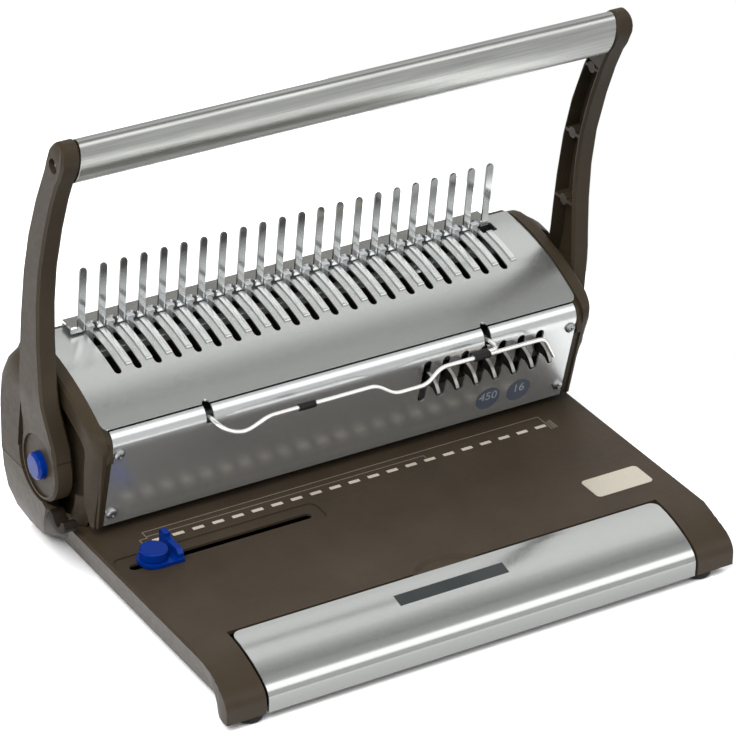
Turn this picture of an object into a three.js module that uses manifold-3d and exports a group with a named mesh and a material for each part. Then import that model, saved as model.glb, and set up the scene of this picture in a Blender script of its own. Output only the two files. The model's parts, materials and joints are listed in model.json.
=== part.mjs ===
// Manual comb binding machine: a punch with twenty-one pins and a comb opener, worked by one handle.
// Millimetres. +X is the machine's right, -Y its front, +Z up. The floor is Z = 0.
// Outlines are drawn with Y = 0 on the printed hole marks; the last group moves the origin to mid-depth.
import * as THREE from 'three';
import { mergeVertices } from 'three/addons/utils/BufferGeometryUtils.js';
import Module from 'manifold-3d';

const wasm = await Module();
wasm.setup();

// Shared spacing and clearances
const pitch = 14.2875;
const holeCount = 21;
const toothCount = holeCount + 1;
const fit = 0.3;
const play = 0.8;
const overrun = 3;
const grain = 0.01;
const mitreShare = 0.5;

// Half widths, from the widest piece of the base inwards
const bulgeHalfWidth = 198.5;
const bulgeStandout = 14;
const baseHalfWidth = bulgeHalfWidth - bulgeStandout;
const sideTaper = 11;
const baseFootHalfWidth = baseHalfWidth - sideTaper;
const drawerMargin = 29;
const drawerHalfWidth = baseHalfWidth - drawerMargin;
const rimInset = 13;
const casingRim = bulgeHalfWidth - rimInset;
const rimDepth = 7;
const casingRecess = casingRim - rimDepth;
const casingPlate = 3.1;
const casingInner = casingRecess - casingPlate;
const coverGap = 0.4;
const coverHalfWidth = casingInner - coverGap;
const panelInset = 4;
const panelHalfWidth = coverHalfWidth - panelInset;
const screwInset = 4.4;
const screwX = panelHalfWidth - screwInset;
const frameInset = 12.4;
const frameInner = casingInner - frameInset;
const combInset = 6;
const combHalfWidth = frameInner - combInset;
const punchInset = 11;
const punchHalfWidth = frameInner - punchInset;
const openerInset = 13;
const openerPlateInner = frameInner - openerInset;
const leverInset = 20;
const leverX = frameInner - leverInset;
const camInset = 41;
const camX = frameInner - camInset;
const springInset = 73;
const springX = frameInner - springInset;

// Handle widths
const armStandout = 4.5;
const armOuter = bulgeHalfWidth + armStandout;
const armThickness = 13;
const armInner = armOuter - armThickness;
const shaftInset = 14;
const shaftEnd = armOuter - shaftInset;

// Base
const baseTop = 36;
const baseBottom = 6;
const baseFront = 162.5;
const bodyRear = 112;
const baseWall = 2.6;
const baseEdge = 1.6;
const frontSlopeStart = 112;
const frontShoulder = 151;
const frontShoulderDrop = 9;
const frontNoseDrop = 22;
const flareStart = 126;
const flareLength = 31;
const floorSheet = 1.2;
const footRadius = 9;
const footInset = 9.5;
const footFront = 152.5;
const footRear = 92;

// Bulge of the base under each handle hub
const bulgeBottom = 8;
const bulgeTop = 64;
const bulgeFront = 24;
const bulgeBack = 111.5;
const bulgeEdge = 6;
const bulgeSlant = 8;
const bulgeNotchTop = 52;
const bulgeNotchFront = 28;
const seamGap = 0.5;

// Waste drawer
const drawerGap = 1.6;
const drawerBack = 114.5;
const drawerTrayEnd = 76;
const drawerSheet = 1.5;
const drawerWall = 2;
const drawerLift = 0.3;
const drawerTrayTop = 29.5;
const drawerCorner = 6;

// Paper guide
const guideSlotWidth = 6.4;
const guideSlotY = -20.5;
const guideSlotRight = -44;
const guideSlotInset = 10.5;
const guideSlotLeft = guideSlotInset - baseHalfWidth;
const guideInset = 27.5;
const guideX = guideInset - baseHalfWidth;
const guideReach = 18.5;
const guideFace = guideX + guideReach;
const guideFlangeRadius = 12.5;
const guideFlangeFlat = 10;
const guideFlange = 3;
const guideWall = 4.6;
const guideWallFront = -31;
const guideWallStep = -11;
const guideWallBack = -2;
const guideWallHeight = 10;
const guidePeakHeight = 13.5;
const knobRadius = 10.4;
const knobHeight = 8.2;
const knobEdge = 1.2;
const guideStemRadius = 2.6;
const guideNutRadius = 7;
const guideNut = 2.4;

// Front panel
const panelSheet = 1.4;
const panelBottomY = 20.1;
const panelBottomZ = 43;
const panelBendY = 5.6;
const panelBendZ = 103;
const seamY = 10.2;

// Top cover
const coverSheet = 1.4;
const coverRadius = 172;
const coverCrestY = 102;
const coverCrestZ = 143.3;
const coverBackY = 99.5;
const coverCorner = 5;
const coverSeam = 1.1;

// Slots and ribs of the cover
const coverSlotOffset = 4.9;
const coverSlotWidth = 4.9;
const coverSlotFront = 45;
const coverSlotBack = 88.5;
const ribWidth = 4.4;
const ribFront = 50;
const ribBack = 84;
const ribRise = 1.2;

// Comb plate
const fingerWidth = 4.8;
const fingerSheet = 1.6;
const fingerTop = 192;
const fingerY = 87.6;
const fingerLean = 0.105;
const combFront = 86.8;
const combBack = 101;
const combTop = 148.4;
const combSheet = 1.6;
const crossbarFront = 92;
const crossbarBack = 99;
const crossbarHeight = 7;

// Side casings
const casingWall = 2.6;
const casingRimBand = 13;
const casingEdge = 4;
const casingFrontEdge = 16;
const casingCornerY = 86;
const casingCornerDrop = 22;
const pillarLip = 1.5;
const pillarRise = 0.4;
const crownShare = 0.9;
const backStart = 70.4;
const backDrop = 36;
const backCorner = 26;
const backEdge = 6;

// Handle
const pivotY = 56;
const pivotZ = 76.5;
const armRise = 228;
const armWall = 2.4;
const armEdge = 1.6;
const headEdge = 3.5;
const headEdgeStart = 232;
const headEdgeHeight = 14;
const armGap = 2.5;
const armRib = 2.2;
const armBoss = 4;
const armHollowLow = 40;
const armHollowHigh = 208;
const armJog = 5.6;
const jogTop = 54;
const jogHeight = 36;
const jogStep = 12;
const tubeOffset = -40.8;
const tubeTilt = 0.4;
const tubeHalfHeight = 17.2;
const tubeHalfDepth = 9.2;
const tubeWall = 1.6;
const headHalfHeight = 17.8;
const headHalfDepth = 10.2;
const headStart = 0.35;
const spigotLength = 11;
const hubRadius = 24;
const hubBossRadius = 12;
const hubArcStart = 2.7;
const hubStep = 1.5;
const hubStepRadius = 21;
const hubPocket = 7;
const hubCapRadius = 8;
const shaftRadius = 6;
const buttonRadius = 9.2;
const buttonProud = 4;
const buttonTravel = 2.5;
const buttonEdge = 1.5;
const armScrewRadius = 4.6;
const armScrewDepth = 4.4;
const armScrewHead = 2.2;

// Frame and drive
const frameSheet = 2.5;
const frameBack = 99.5;
const frameMargin = 5;
const frameEdgeShare = 0.3;
const frameFoot = 12;
const bushRadius = 9.5;
const bushFlange = 1.6;
const bushFlangeRadius = 11.5;
const openerTilt = 0.2094;
const openerTravel = 38;
const handleSwing = 1.309;
const driverPinRadius = 2.5;
const leverSheet = 4;
const leverHub = 11;
const leverTip = 4.6;
const openerPlateSheet = 2.6;
const openerBarDepth = 8;
const openerBarHeight = 5;
const openerY = 86;
const openerTop = 129.5;
const tongueLength = 18;
const tongueHeight = 5;
const hookWidth = 3.9;
const hookDepth = 4.4;
const hookTop = 148.6;
const hookNib = 1.4;
const hookRoomReach = 6.5;
const hookNibHeight = 2;

// Punch
const dieSheet = 2.7;
const dieFront = 40;
const dieBack = 74;
const pinWidth = 8;
const pinDepth = 3;
const pinPlay = 0.4;
const throatHeight = 7;
const pinGuideSheet = 3;
const pinGuideFront = 46;
const pinGuideBack = 72;
const stopFront = 61.5;
const punchTravel = 10;
const punchBarBottom = 58.5;
const punchBarHeight = 6;
const punchBarDepth = 8;
const punchTongueDepth = 6;
const camBaseRadius = 9.5;
const camBackRadius = 8.7;
const camBackStart = 3.2;
const camBackEnd = -1.41;
const camWidth = 6;
const springLength = 22;
const springRadius = 9.6;

// Holder for punched sheets
const clawFirst = 14;
const clawCount = 7;
const clawWidth = 2.6;
const clawSlotWidth = 6;
const clawSlotTop = 106.5;
const clawSlotBottom = 73;
const clawReach = 15.5;
const clawDrop = 9.5;
const clawDepth = 8;
const clawWaist = 5.6;
const clawRoot = 10.4;
const clawTip = 4;
const clawBarEnd = 4.7625;
const clawBarHeight = 16;
const clawBarSheet = 3.4;
const clawBarTop = 99;

// Wire bail
const wireRadius = 1.5;
const wireSides = 10;
const wireBend = 5;
const bailHalfWidth = 102.5;
const bailAxisY = 17;
const bailAxisZ = 105;
const bailBarY = -10;
const bailBarZ = 109.4;
const bailDroop = 6.5;
const bailSlotY = 5.4;
const bailStub = 11;
const bailWaveX = 33;
const bailWaveHalf = 24;
const bailWaveDrop = 8;
const bailEndX = 136;
const bailEndDrop = 15;
const bailSlotWidth = 5.4;
const bailSlotEnd = 14;
const bailSlotBottom = 106;
const bailSlotZ = 110.4;
const sleeveRadius = 2.4;
const sleeveLength = 12;
const sleeveLeftX = -42;
const sleeveRightX = 88;
const bracketWidth = 5;
const bracketSize = 9;

// Fasteners
const screwHeadRadius = 3.7;
const screwCrown = 2.6;
const screwHead = 2.4;
const screwShank = 2;
const screwLength = 6;
const screwUpperZ = 101.7;
const screwLowerZ = 53;

// Finishes
function finish(color, roughness, metalness) {
  return () => new THREE.MeshStandardMaterial({ color, roughness, metalness });
}
const brown = finish(0x4b433b, 0.55, 0);
const black = finish(0x191817, 0.7, 0);
const silver = finish(0xaeb0ab, 0.38, 0.7);
const chrome = finish(0xd6d8d8, 0.15, 1);
const steel = finish(0x8e9091, 0.4, 1);
const aluminium = finish(0xc4c6c6, 0.3, 0.9);
const blue = finish(0x063db4, 0.3, 0);

// Joining and cutting
function solid(geometry) {
  const bare = new THREE.BufferGeometry();
  bare.setAttribute('position', geometry.getAttribute('position').clone());
  if (geometry.index) bare.setIndex(geometry.index.clone());
  const merged = mergeVertices(bare, 1e-4);
  return new wasm.Manifold(new wasm.Mesh({
    numProp: 3,
    vertProperties: new Float32Array(merged.getAttribute('position').array),
    triVerts: new Uint32Array(merged.index.array),
  }));
}

function geometryOf(body) {
  const mesh = body.simplify(grain).getMesh();
  const geometry = new THREE.BufferGeometry();
  geometry.setAttribute('position', new THREE.BufferAttribute(new Float32Array(mesh.vertProperties), 3));
  geometry.setIndex(new THREE.BufferAttribute(new Uint32Array(mesh.triVerts), 1));
  geometry.computeVertexNormals();
  return geometry;
}

const join = (...bodies) => bodies.reduce((sum, body) => sum.add(body));
const cut = (body, ...tools) => tools.reduce((rest, tool) => rest.subtract(tool), body);

// Shapes
const point = (x, y) => new THREE.Vector2(x, y);

function extrude(outline, length, basis, edge = 0) {
  const bevel = { bevelEnabled: edge > 0, bevelThickness: edge, bevelSize: edge, bevelOffset: -edge };
  const settings = { depth: length - 2 * edge, steps: 1, bevelSegments: 1, ...bevel };
  const geometry = new THREE.ExtrudeGeometry(new THREE.Shape(outline), settings);
  geometry.translate(0, 0, edge);
  geometry.applyMatrix4(basis);
  return geometry;
}

const alongX = new THREE.Matrix4().makeBasis(
  new THREE.Vector3(0, 1, 0), new THREE.Vector3(0, 0, 1), new THREE.Vector3(1, 0, 0));
const alongY = new THREE.Matrix4().makeBasis(
  new THREE.Vector3(1, 0, 0), new THREE.Vector3(0, 0, 1), new THREE.Vector3(0, -1, 0));

// A side view (Y, Z) drawn from x0 to x1
function sideways(outline, x0, x1, edge = 0) {
  return solid(extrude(outline, x1 - x0, alongX, edge).translate(x0, 0, 0));
}

// A front view (X, Z) drawn from y0 back to y1
function rearward(outline, y0, y1, edge = 0) {
  return solid(extrude(outline, y1 - y0, alongY, edge).translate(0, y1, 0));
}

// A plan view (X, Y) drawn from z0 up to z1
function upward(outline, z0, z1, edge = 0) {
  return solid(extrude(outline, z1 - z0, new THREE.Matrix4(), edge).translate(0, 0, z0));
}

function box(x0, x1, y0, y1, z0, z1) {
  const geometry = new THREE.BoxGeometry(x1 - x0, y1 - y0, z1 - z0);
  geometry.translate((x0 + x1) / 2, (y0 + y1) / 2, (z0 + z1) / 2);
  return solid(geometry);
}

function rodAlongX(x0, x1, y, z, radius, sides = 24) {
  const geometry = new THREE.CylinderGeometry(radius, radius, x1 - x0, sides);
  geometry.rotateZ(Math.PI / 2).translate((x0 + x1) / 2, y, z);
  return solid(geometry);
}

function rodAlongZ(x, y, z0, z1, radius, sides = 24) {
  const geometry = new THREE.CylinderGeometry(radius, radius, z1 - z0, sides);
  geometry.rotateX(Math.PI / 2).translate(x, y, (z0 + z1) / 2);
  return solid(geometry);
}

// A turned piece on the X axis: profile points are (radius, x)
function turnedAlongX(profile, y, z, sides = 28) {
  const geometry = new THREE.LatheGeometry(profile, sides);
  geometry.rotateZ(-Math.PI / 2).translate(0, y, z);
  return solid(geometry);
}

// A turned piece on the Z axis: profile points are (radius, z)
function turnedAlongZ(profile, x, y, sides = 28) {
  const geometry = new THREE.LatheGeometry(profile, sides);
  geometry.rotateX(Math.PI / 2).translate(x, y, 0);
  return solid(geometry);
}

function arc(y, z, radius, from, to, steps) {
  const points = [];
  for (let i = 0; i <= steps; i += 1) {
    const angle = from + (to - from) * i / steps;
    points.push(point(y + radius * Math.cos(angle), z + radius * Math.sin(angle)));
  }
  return points;
}

// The same line moved to its left by a distance, corners mitred
function shifted(line, distance) {
  return line.map((here, i) => {
    const before = line[Math.max(i - 1, 0)];
    const after = line[Math.min(i + 1, line.length - 1)];
    const along1 = here.clone().sub(before);
    const along2 = after.clone().sub(here);
    if (along1.length() === 0) along1.copy(along2);
    if (along2.length() === 0) along2.copy(along1);
    const normal1 = point(-along1.y, along1.x).normalize();
    const normal2 = point(-along2.y, along2.x).normalize();
    const mitre = normal1.clone().add(normal2).normalize();
    return here.clone().addScaledVector(mitre, distance / Math.max(mitre.dot(normal1), mitreShare));
  });
}

// A sheet that follows a line, its thickness to the left of the line
function sheetOutline(line, thickness) {
  return [...line, ...shifted(line, thickness).reverse()];
}

// The bridge between rings of equally many points, closed at both ends
function loft(rings) {
  const count = rings[0].length;
  const positions = rings.flat().flatMap((corner) => [corner.x, corner.y, corner.z]);
  const index = [];
  for (let ring = 0; ring + 1 < rings.length; ring += 1) {
    for (let i = 0; i < count; i += 1) {
      const a = ring * count + i;
      const b = ring * count + (i + 1) % count;
      index.push(a, b, a + count, b, b + count, a + count);
    }
  }
  const last = (rings.length - 1) * count;
  for (let i = 1; i + 1 < count; i += 1) {
    index.push(0, i + 1, i);
    index.push(last, last + i, last + i + 1);
  }
  const geometry = new THREE.BufferGeometry();
  geometry.setAttribute('position', new THREE.Float32BufferAttribute(positions, 3));
  geometry.setIndex(index);
  return solid(geometry);
}

function mirrored(body) {
  const geometry = geometryOf(body);
  geometry.scale(-1, 1, 1);
  const index = geometry.index.array;
  for (let i = 0; i < index.length; i += 3) [index[i], index[i + 1]] = [index[i + 1], index[i]];
  return solid(geometry);
}

const onSide = (side, body) => (side < 0 ? mirrored(body) : body);
const flanks = [['left', -1], ['right', 1]];

// Lines that several pieces follow
const holeX = (hole) => (hole - (holeCount - 1) / 2) * pitch;
const toothX = (tooth) => (tooth - (toothCount - 1) / 2) * pitch;
const coverHeight = (y) => coverCrestZ - coverRadius + Math.sqrt(coverRadius ** 2 - (y - coverCrestY) ** 2);
const seamZ = coverHeight(seamY);
const panelLean = (panelBottomY - panelBendY) / (panelBendZ - panelBottomZ);
const panelFaceY = (z) => panelBottomY - (z - panelBottomZ) * panelLean;

// The panel's face from its bottom edge up and over the bend to the seam
function panelLine(bottomZ, endShare = 1) {
  const slope = (coverCrestY - seamY) / (seamZ - coverCrestZ + coverRadius);
  const rise = (seamZ - panelBendZ + slope * (panelBendY - seamY)) / (1 + slope * panelLean);
  const corner = point(panelBendY - rise * panelLean, panelBendZ + rise);
  const bend = new THREE.QuadraticBezierCurve(point(panelBendY, panelBendZ), corner, point(seamY, seamZ));
  const steps = 8;
  const curve = [];
  for (let i = 0; i <= steps; i += 1) curve.push(bend.getPoint(endShare * i / steps));
  return [point(panelFaceY(bottomZ), bottomZ), ...curve];
}

function coverLine(fromY, toY, lift, steps) {
  const line = [];
  for (let i = 0; i <= steps; i += 1) {
    const y = fromY + (toY - fromY) * i / steps;
    line.push(point(y, coverHeight(y) + lift));
  }
  return line;
}

// The base's top from the back edge forward, down over the nose to the bottom edge
function baseTopLine() {
  const shoulder = point(-frontShoulder, baseTop - frontShoulderDrop);
  const nose = point(-baseFront, baseTop - frontNoseDrop);
  const slope = new THREE.QuadraticBezierCurve(
    point(-frontSlopeStart, baseTop), point(-(frontSlopeStart + frontShoulder) / 2, baseTop), shoulder);
  const turn = new THREE.QuadraticBezierCurve(
    shoulder, point(-baseFront, (shoulder.y + nose.y) / 2 + baseEdge), nose);
  const slopePoints = slope.getPoints(5);
  const turnPoints = turn.getPoints(6).slice(1);
  return [...slopePoints, ...turnPoints, point(-baseFront, baseBottom)];
}

// Base: its sides lean in towards the foot, and stand upright at the front corners
function baseSection(y) {
  const share = Math.min(Math.max((-y - flareStart) / flareLength, 0), 1);
  const flared = share ** 2 * (3 - 2 * share);
  const footHalf = baseFootHalfWidth + (baseHalfWidth - baseFootHalfWidth) * flared;
  const half = [
    point(footHalf, baseBottom), point(baseHalfWidth, baseTop - baseEdge), point(baseHalfWidth - baseEdge, baseTop),
  ];
  const ring = [...half, ...half.map((p) => point(-p.x, p.y)).reverse()];
  return ring.map((p) => new THREE.Vector3(p.x, y, p.y)).reverse();
}

function baseBody() {
  const side = [point(bodyRear, baseBottom), point(bodyRear, baseTop), ...baseTopLine()];
  const stations = [-baseFront - overrun];
  for (let step = 6; step >= 0; step -= 1) stations.push(-flareStart - flareLength * step / 6);
  stations.push(bodyRear + overrun);
  return sideways(side, -baseHalfWidth - overrun, baseHalfWidth + overrun)
    .intersect(loft(stations.map(baseSection)));
}

function baseHollow() {
  const inner = shifted([point(bodyRear, baseTop), ...baseTopLine()], baseWall);
  inner[0].set(bodyRear - baseWall, baseTop - baseWall);
  const end = inner[inner.length - 1];
  const side = [point(bodyRear - baseWall, baseBottom - overrun), ...inner, point(end.x, baseBottom - overrun)];
  const flare = (baseHalfWidth - baseFootHalfWidth) / (baseTop - baseBottom);
  const half = (z) => baseFootHalfWidth + (z - baseBottom) * flare - baseWall;
  const low = baseBottom - overrun;
  const front = [
    point(-half(low), low), point(half(low), low), point(half(baseTop), baseTop), point(-half(baseTop), baseTop),
  ];
  return sideways(side, -baseHalfWidth, baseHalfWidth)
    .intersect(rearward(front, -baseFront - overrun, bodyRear + overrun));
}

// A ring of the bulge in plan: how far out, how far forward, how far back
function bulgeRing(z, inner, outer, front, back) {
  const corner = Math.min(bulgeEdge, (outer - inner) / 3);
  const plan = [
    point(inner, front), point(inner + (outer - inner) * bulgeFrontShare, front + bulgeSlant),
    point(outer - corner, front + bulgeSlant + corner), point(outer, front + bulgeSlant + 2 * corner),
    point(outer, back - corner), point(outer - corner, back),
    point(inner, back),
  ];
  return plan.map((place) => new THREE.Vector3(place.x, place.y, z));
}

// Shares of the bulge's width, and of its depth at the front and the back, from its foot up
const bulgeShares = [[0.38, 0.5, 0.9], [0.66, 0.28, 0.96], [0.88, 0.12, 0.99], [0.97, 0.03, 1], [1, 0, 1]];
const bulgeHeightShares = [0, 0.22, 0.5, 0.78, 1];
const bulgeFrontShare = 0.45;

function bulgeBody(inset, low, high, inner) {
  const width = bulgeHalfWidth - baseFootHalfWidth;
  const depth = bulgeBack - bulgeFront;
  const rings = bulgeShares.map(([wide, front, back], i) => bulgeRing(
    low + (high - low) * bulgeHeightShares[i],
    inner, Math.max(baseFootHalfWidth + width * wide - inset, inner + seamGap), bulgeFront + depth * front + inset,
    bulgeFront + depth * back - inset));
  return loft(rings);
}

// The round room that the hub turns in
function hubRoom() {
  const inner = armInner - armJog - play;
  return rodAlongX(inner, armOuter + overrun, pivotY, pivotZ, hubRadius + play, 44);
}

// The bulge is cut away in front of the hub, so that the arm can come down beside the rim
function bulgeNotch() {
  const top = pivotZ - hubRadius;
  const side = [
    point(bulgeNotchTop, top), point(bulgeNotchTop, pivotZ), point(0, pivotZ), point(0, baseTop),
    point(bulgeNotchFront, baseTop + fit),
  ];
  return sideways(side, armInner - armJog - play, armOuter);
}

function guideSlot() {
  const half = guideSlotWidth / 2;
  const slot = [
    ...arc(guideSlotRight - half, guideSlotY, half, -Math.PI / 2, Math.PI / 2, 6),
    ...arc(guideSlotLeft + half, guideSlotY, half, Math.PI / 2, 3 * Math.PI / 2, 6),
  ];
  return upward(slot, baseTop - 2 * baseWall, baseTop + overrun);
}

function baseTray() {
  const shell = cut(baseBody(), baseHollow());
  const seam = bulgeTop - seamGap;
  const bulge = cut(bulgeBody(0, bulgeBottom, seam, casingInner), hubRoom(), bulgeNotch());
  const pocket = box(-frameInner + fit, frameInner - fit, dieFront - fit, dieBack + fit,
    baseTop - dieSheet - 2 * fit, baseTop + overrun);
  const pocketFloor = box(-frameInner - baseWall, frameInner + baseWall, dieFront - baseWall, dieBack + baseWall,
    baseTop - dieSheet - baseWall - fit, baseTop - baseWall / 2);
  const chute = box(-punchHalfWidth, punchHalfWidth, pivotY - 2 * pinDepth, pivotY + 2 * pinDepth,
    baseBottom, baseTop);
  const mouth = box(-drawerHalfWidth - drawerGap, drawerHalfWidth + drawerGap,
    -baseFront - overrun, -drawerBack + drawerGap, 0, baseTop + overrun);
  const under = box(0, bulgeHalfWidth, 0, bodyRear, -overrun, baseTop - baseWall);
  const room = join(
    bulgeBody(baseWall, bulgeBottom + baseWall, seam + overrun, casingInner + baseWall),
    bulgeBody(baseWall, bulgeBottom + baseWall, seam + overrun, frameInner).intersect(under));
  const body = cut(join(shell, pocketFloor, bulge, mirrored(bulge)), room, mirrored(room));
  const inside = box(-frameInner, frameInner, dieFront, dieBack, 0, baseTop - dieSheet - baseWall - fit);
  return cut(body, inside, pocket, chute, mouth, guideSlot());
}

function floorPlate() {
  const top = baseBottom + floorSheet;
  const half = baseFootHalfWidth - baseWall - fit;
  const plan = [
    point(-half, bodyRear - baseWall - fit), point(-half, -baseFront + 2 * baseWall),
    point(-drawerHalfWidth - drawerGap, -baseFront + 2 * baseWall),
    point(-drawerHalfWidth - drawerGap, -frontShoulder + baseWall),
    point(drawerHalfWidth + drawerGap, -frontShoulder + baseWall),
    point(drawerHalfWidth + drawerGap, -baseFront + 2 * baseWall),
    point(half, -baseFront + 2 * baseWall), point(half, bodyRear - baseWall - fit),
  ];
  return upward(plan, top - floorSheet, top);
}

function foot(x, y) {
  const top = baseBottom - fit;
  const profile = [
    point(0, 0), point(footRadius - baseEdge, 0), point(footRadius, baseEdge), point(footRadius, top), point(0, top),
  ];
  return turnedAlongZ(profile, x, y, 20);
}

// Waste drawer
function drawerCover() {
  const line = baseTopLine().map((corner) => corner.clone());
  line[0].x = -drawerBack;
  line[0].y = baseTop;
  const side = sheetOutline(line, drawerSheet);
  const sheet = sideways(side, -drawerHalfWidth, drawerHalfWidth);
  const half = drawerHalfWidth;
  const plan = [
    ...arc(half - drawerCorner, -drawerBack - drawerCorner, drawerCorner, 0, Math.PI / 2, 5),
    ...arc(-half + drawerCorner, -drawerBack - drawerCorner, drawerCorner, Math.PI / 2, Math.PI, 5),
    point(-half, -baseFront - overrun), point(half, -baseFront - overrun),
  ];
  return sheet.intersect(upward(plan, 0, baseTop + overrun));
}

function drawerTray() {
  const low = baseBottom + floorSheet + drawerLift;
  const line = shifted(baseTopLine(), drawerSheet + fit);
  line[0].x = -drawerBack - drawerWall;
  line[line.length - 1].y = low;
  const side = [
    point(drawerTrayEnd, low), point(drawerTrayEnd, drawerTrayTop), point(-drawerBack - drawerWall, drawerTrayTop),
    ...line,
  ];
  const half = drawerHalfWidth - drawerWall;
  const body = sideways(side, -half, half);
  const room = box(-half + drawerWall, half - drawerWall, -frontShoulder + drawerWall, drawerTrayEnd - drawerWall,
    low + drawerWall, baseTop + overrun);
  return cut(body, room);
}

// Paper guide
function guideSlider() {
  const flangeTop = baseTop + fit + guideFlange;
  const flange = upward([
    point(guideFace - guideWall, guideSlotY + guideFlangeFlat),
    ...arc(guideX, guideSlotY, guideFlangeRadius, Math.PI / 2, 3 * Math.PI / 2, 14),
    point(guideFace - fit, guideSlotY - guideFlangeRadius),
    point(guideFace - fit, guideSlotY + guideFlangeFlat),
  ], baseTop + fit, flangeTop);
  const wall = sideways([
    point(guideWallFront, baseTop + fit), point(guideWallBack, baseTop + fit),
    point(guideWallBack, baseTop + guidePeakHeight - baseEdge),
    point(guideWallBack - baseEdge, baseTop + guidePeakHeight),
    point(guideWallStep, baseTop + guidePeakHeight), point(guideWallStep, baseTop + guideWallHeight),
    point(guideWallFront + 2 * baseEdge, baseTop + guideWallHeight),
    point(guideWallFront, baseTop + guideWallHeight - 2 * baseEdge),
  ], guideFace - guideWall, guideFace);
  const stem = rodAlongZ(guideX, guideSlotY, baseTop - baseWall - guideNut, baseTop + guideFlange, guideStemRadius, 16);
  return join(flange, wall, stem);
}

function guideKnob() {
  const low = baseTop + guideFlange + 2 * fit;
  const high = low + knobHeight;
  const profile = [
    point(0, low), point(knobRadius, low), point(knobRadius, high - knobEdge),
    point(knobRadius - knobEdge, high), point(0, high),
  ];
  return turnedAlongZ(profile, guideX, guideSlotY);
}

function guideNutPlate() {
  const high = baseTop - baseWall - fit;
  const ring = rodAlongZ(guideX, guideSlotY, high - guideNut, high, guideNutRadius, 16);
  return cut(ring, rodAlongZ(guideX, guideSlotY, high - 2 * guideNut, high + overrun, guideStemRadius + fit / 2, 16));
}

// Front panel
function bailSlotTool(side) {
  const half = bailSlotWidth / 2;
  const centre = side * bailHalfWidth;
  const plan = [
    point(centre - half, panelBendY - overrun), point(centre + half, panelBendY - overrun),
    ...arc(centre, bailSlotEnd - half, half, 0, Math.PI, 6),
  ];
  return upward(plan, bailSlotBottom, coverCrestZ);
}

function frontPanel() {
  let panel = sideways(sheetOutline(panelLine(panelBottomZ), -panelSheet), -panelHalfWidth, panelHalfWidth);
  for (let claw = 0; claw < clawCount; claw += 1) {
    const x = holeX(clawFirst + claw);
    const half = clawSlotWidth / 2;
    panel = cut(panel, rearward([
      ...arc(x, clawSlotTop - half, half, 0, Math.PI, 6), ...arc(x, clawSlotBottom + half, half, Math.PI, 2 * Math.PI, 6),
    ], 0, panelBottomY));
  }
  for (const [, side] of flanks) {
    panel = cut(panel, bailSlotTool(side));
    for (const z of [screwUpperZ, screwLowerZ]) panel = cut(panel, screwHole(side, z));
  }
  return panel;
}

// Panel screws lie square to the leaning panel
const panelTurn = Math.atan(panelLean);

function acrossPanel(geometry, x, z) {
  geometry.rotateX(Math.PI + panelTurn).translate(x, panelFaceY(z), z);
  return solid(geometry);
}

function screwHole(side, z) {
  const hole = new THREE.CylinderGeometry(screwShank + fit, screwShank + fit, 4 * screwLength, 12);
  return acrossPanel(hole, side * screwX, z);
}

function panelScrew(side, z) {
  const profile = [
    point(0, -screwLength), point(screwShank, -screwLength), point(screwShank, fit),
    point(screwHeadRadius, fit), point(screwHeadRadius, screwHead / 2),
    point(screwCrown, screwHead), point(0, screwHead + fit),
  ];
  return acrossPanel(new THREE.LatheGeometry(profile, 12), side * screwX, z);
}

// Top cover
function topCover() {
  const line = coverLine(seamY + coverSeam, coverBackY, 0, 9).reverse();
  const sheet = sideways(sheetOutline(line, coverSheet), -coverHalfWidth, coverHalfWidth);
  const front = seamY + coverSeam;
  const half = coverHalfWidth;
  const plan = [
    point(half, coverBackY + overrun), point(-half, coverBackY + overrun),
    ...arc(-half + coverCorner, front + coverCorner, coverCorner, Math.PI, 3 * Math.PI / 2, 4),
    ...arc(half - coverCorner, front + coverCorner, coverCorner, 3 * Math.PI / 2, 2 * Math.PI, 4),
  ];
  let cover = sheet.intersect(upward(plan, seamZ - 2 * overrun, coverCrestZ + overrun));
  const ribLine = coverLine(ribFront, ribBack, ribRise, 4).reverse();
  const rib = sheetOutline(ribLine, ribRise + coverSheet / 2);
  for (let tooth = 1; tooth < toothCount; tooth += 1) {
    cover = cover.add(sideways(rib, toothX(tooth) - ribWidth / 2, toothX(tooth) + ribWidth / 2));
  }
  for (let tooth = 0; tooth < holeCount; tooth += 1) cover = cut(cover, coverSlotTool(tooth));
  for (const [, side] of flanks) cover = cut(cover, bailSlotTool(side));
  return cover;
}

function coverSlotTool(tooth) {
  const x = toothX(tooth) + coverSlotOffset;
  const half = coverSlotWidth / 2;
  const plan = [
    ...arc(x, coverSlotFront + half, half, Math.PI, 2 * Math.PI, 4),
    point(x + half, coverSlotBack), point(x - half, coverSlotBack),
  ];
  return upward(plan, seamZ, coverCrestZ + overrun);
}

function rearCover() {
  const top = coverHeight(coverBackY) - fit;
  const corner = point(bodyRear - baseWall, top);
  const bend = new THREE.QuadraticBezierCurve(
    point(coverBackY + fit, top), corner, point(bodyRear - baseWall, top - crossbarHeight * 2));
  const line = [...bend.getPoints(6), point(bodyRear - baseWall, baseTop + fit)];
  return sideways(sheetOutline(line, -baseWall), -coverHalfWidth, coverHalfWidth);
}

// Comb plate with its upright fingers
function finger(tooth) {
  const half = fingerWidth / 2;
  const rootZ = coverCrestZ + combSheet;
  const outline = [
    point(-half, 0), point(half, 0),
    ...arc(0, fingerTop - rootZ - half, half, 0, Math.PI, 4),
  ];
  const geometry = extrude(outline, fingerSheet, alongY).translate(0, fingerSheet / 2, 0);
  geometry.rotateX(fingerLean).translate(toothX(tooth), fingerY, rootZ);
  return solid(geometry);
}

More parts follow.
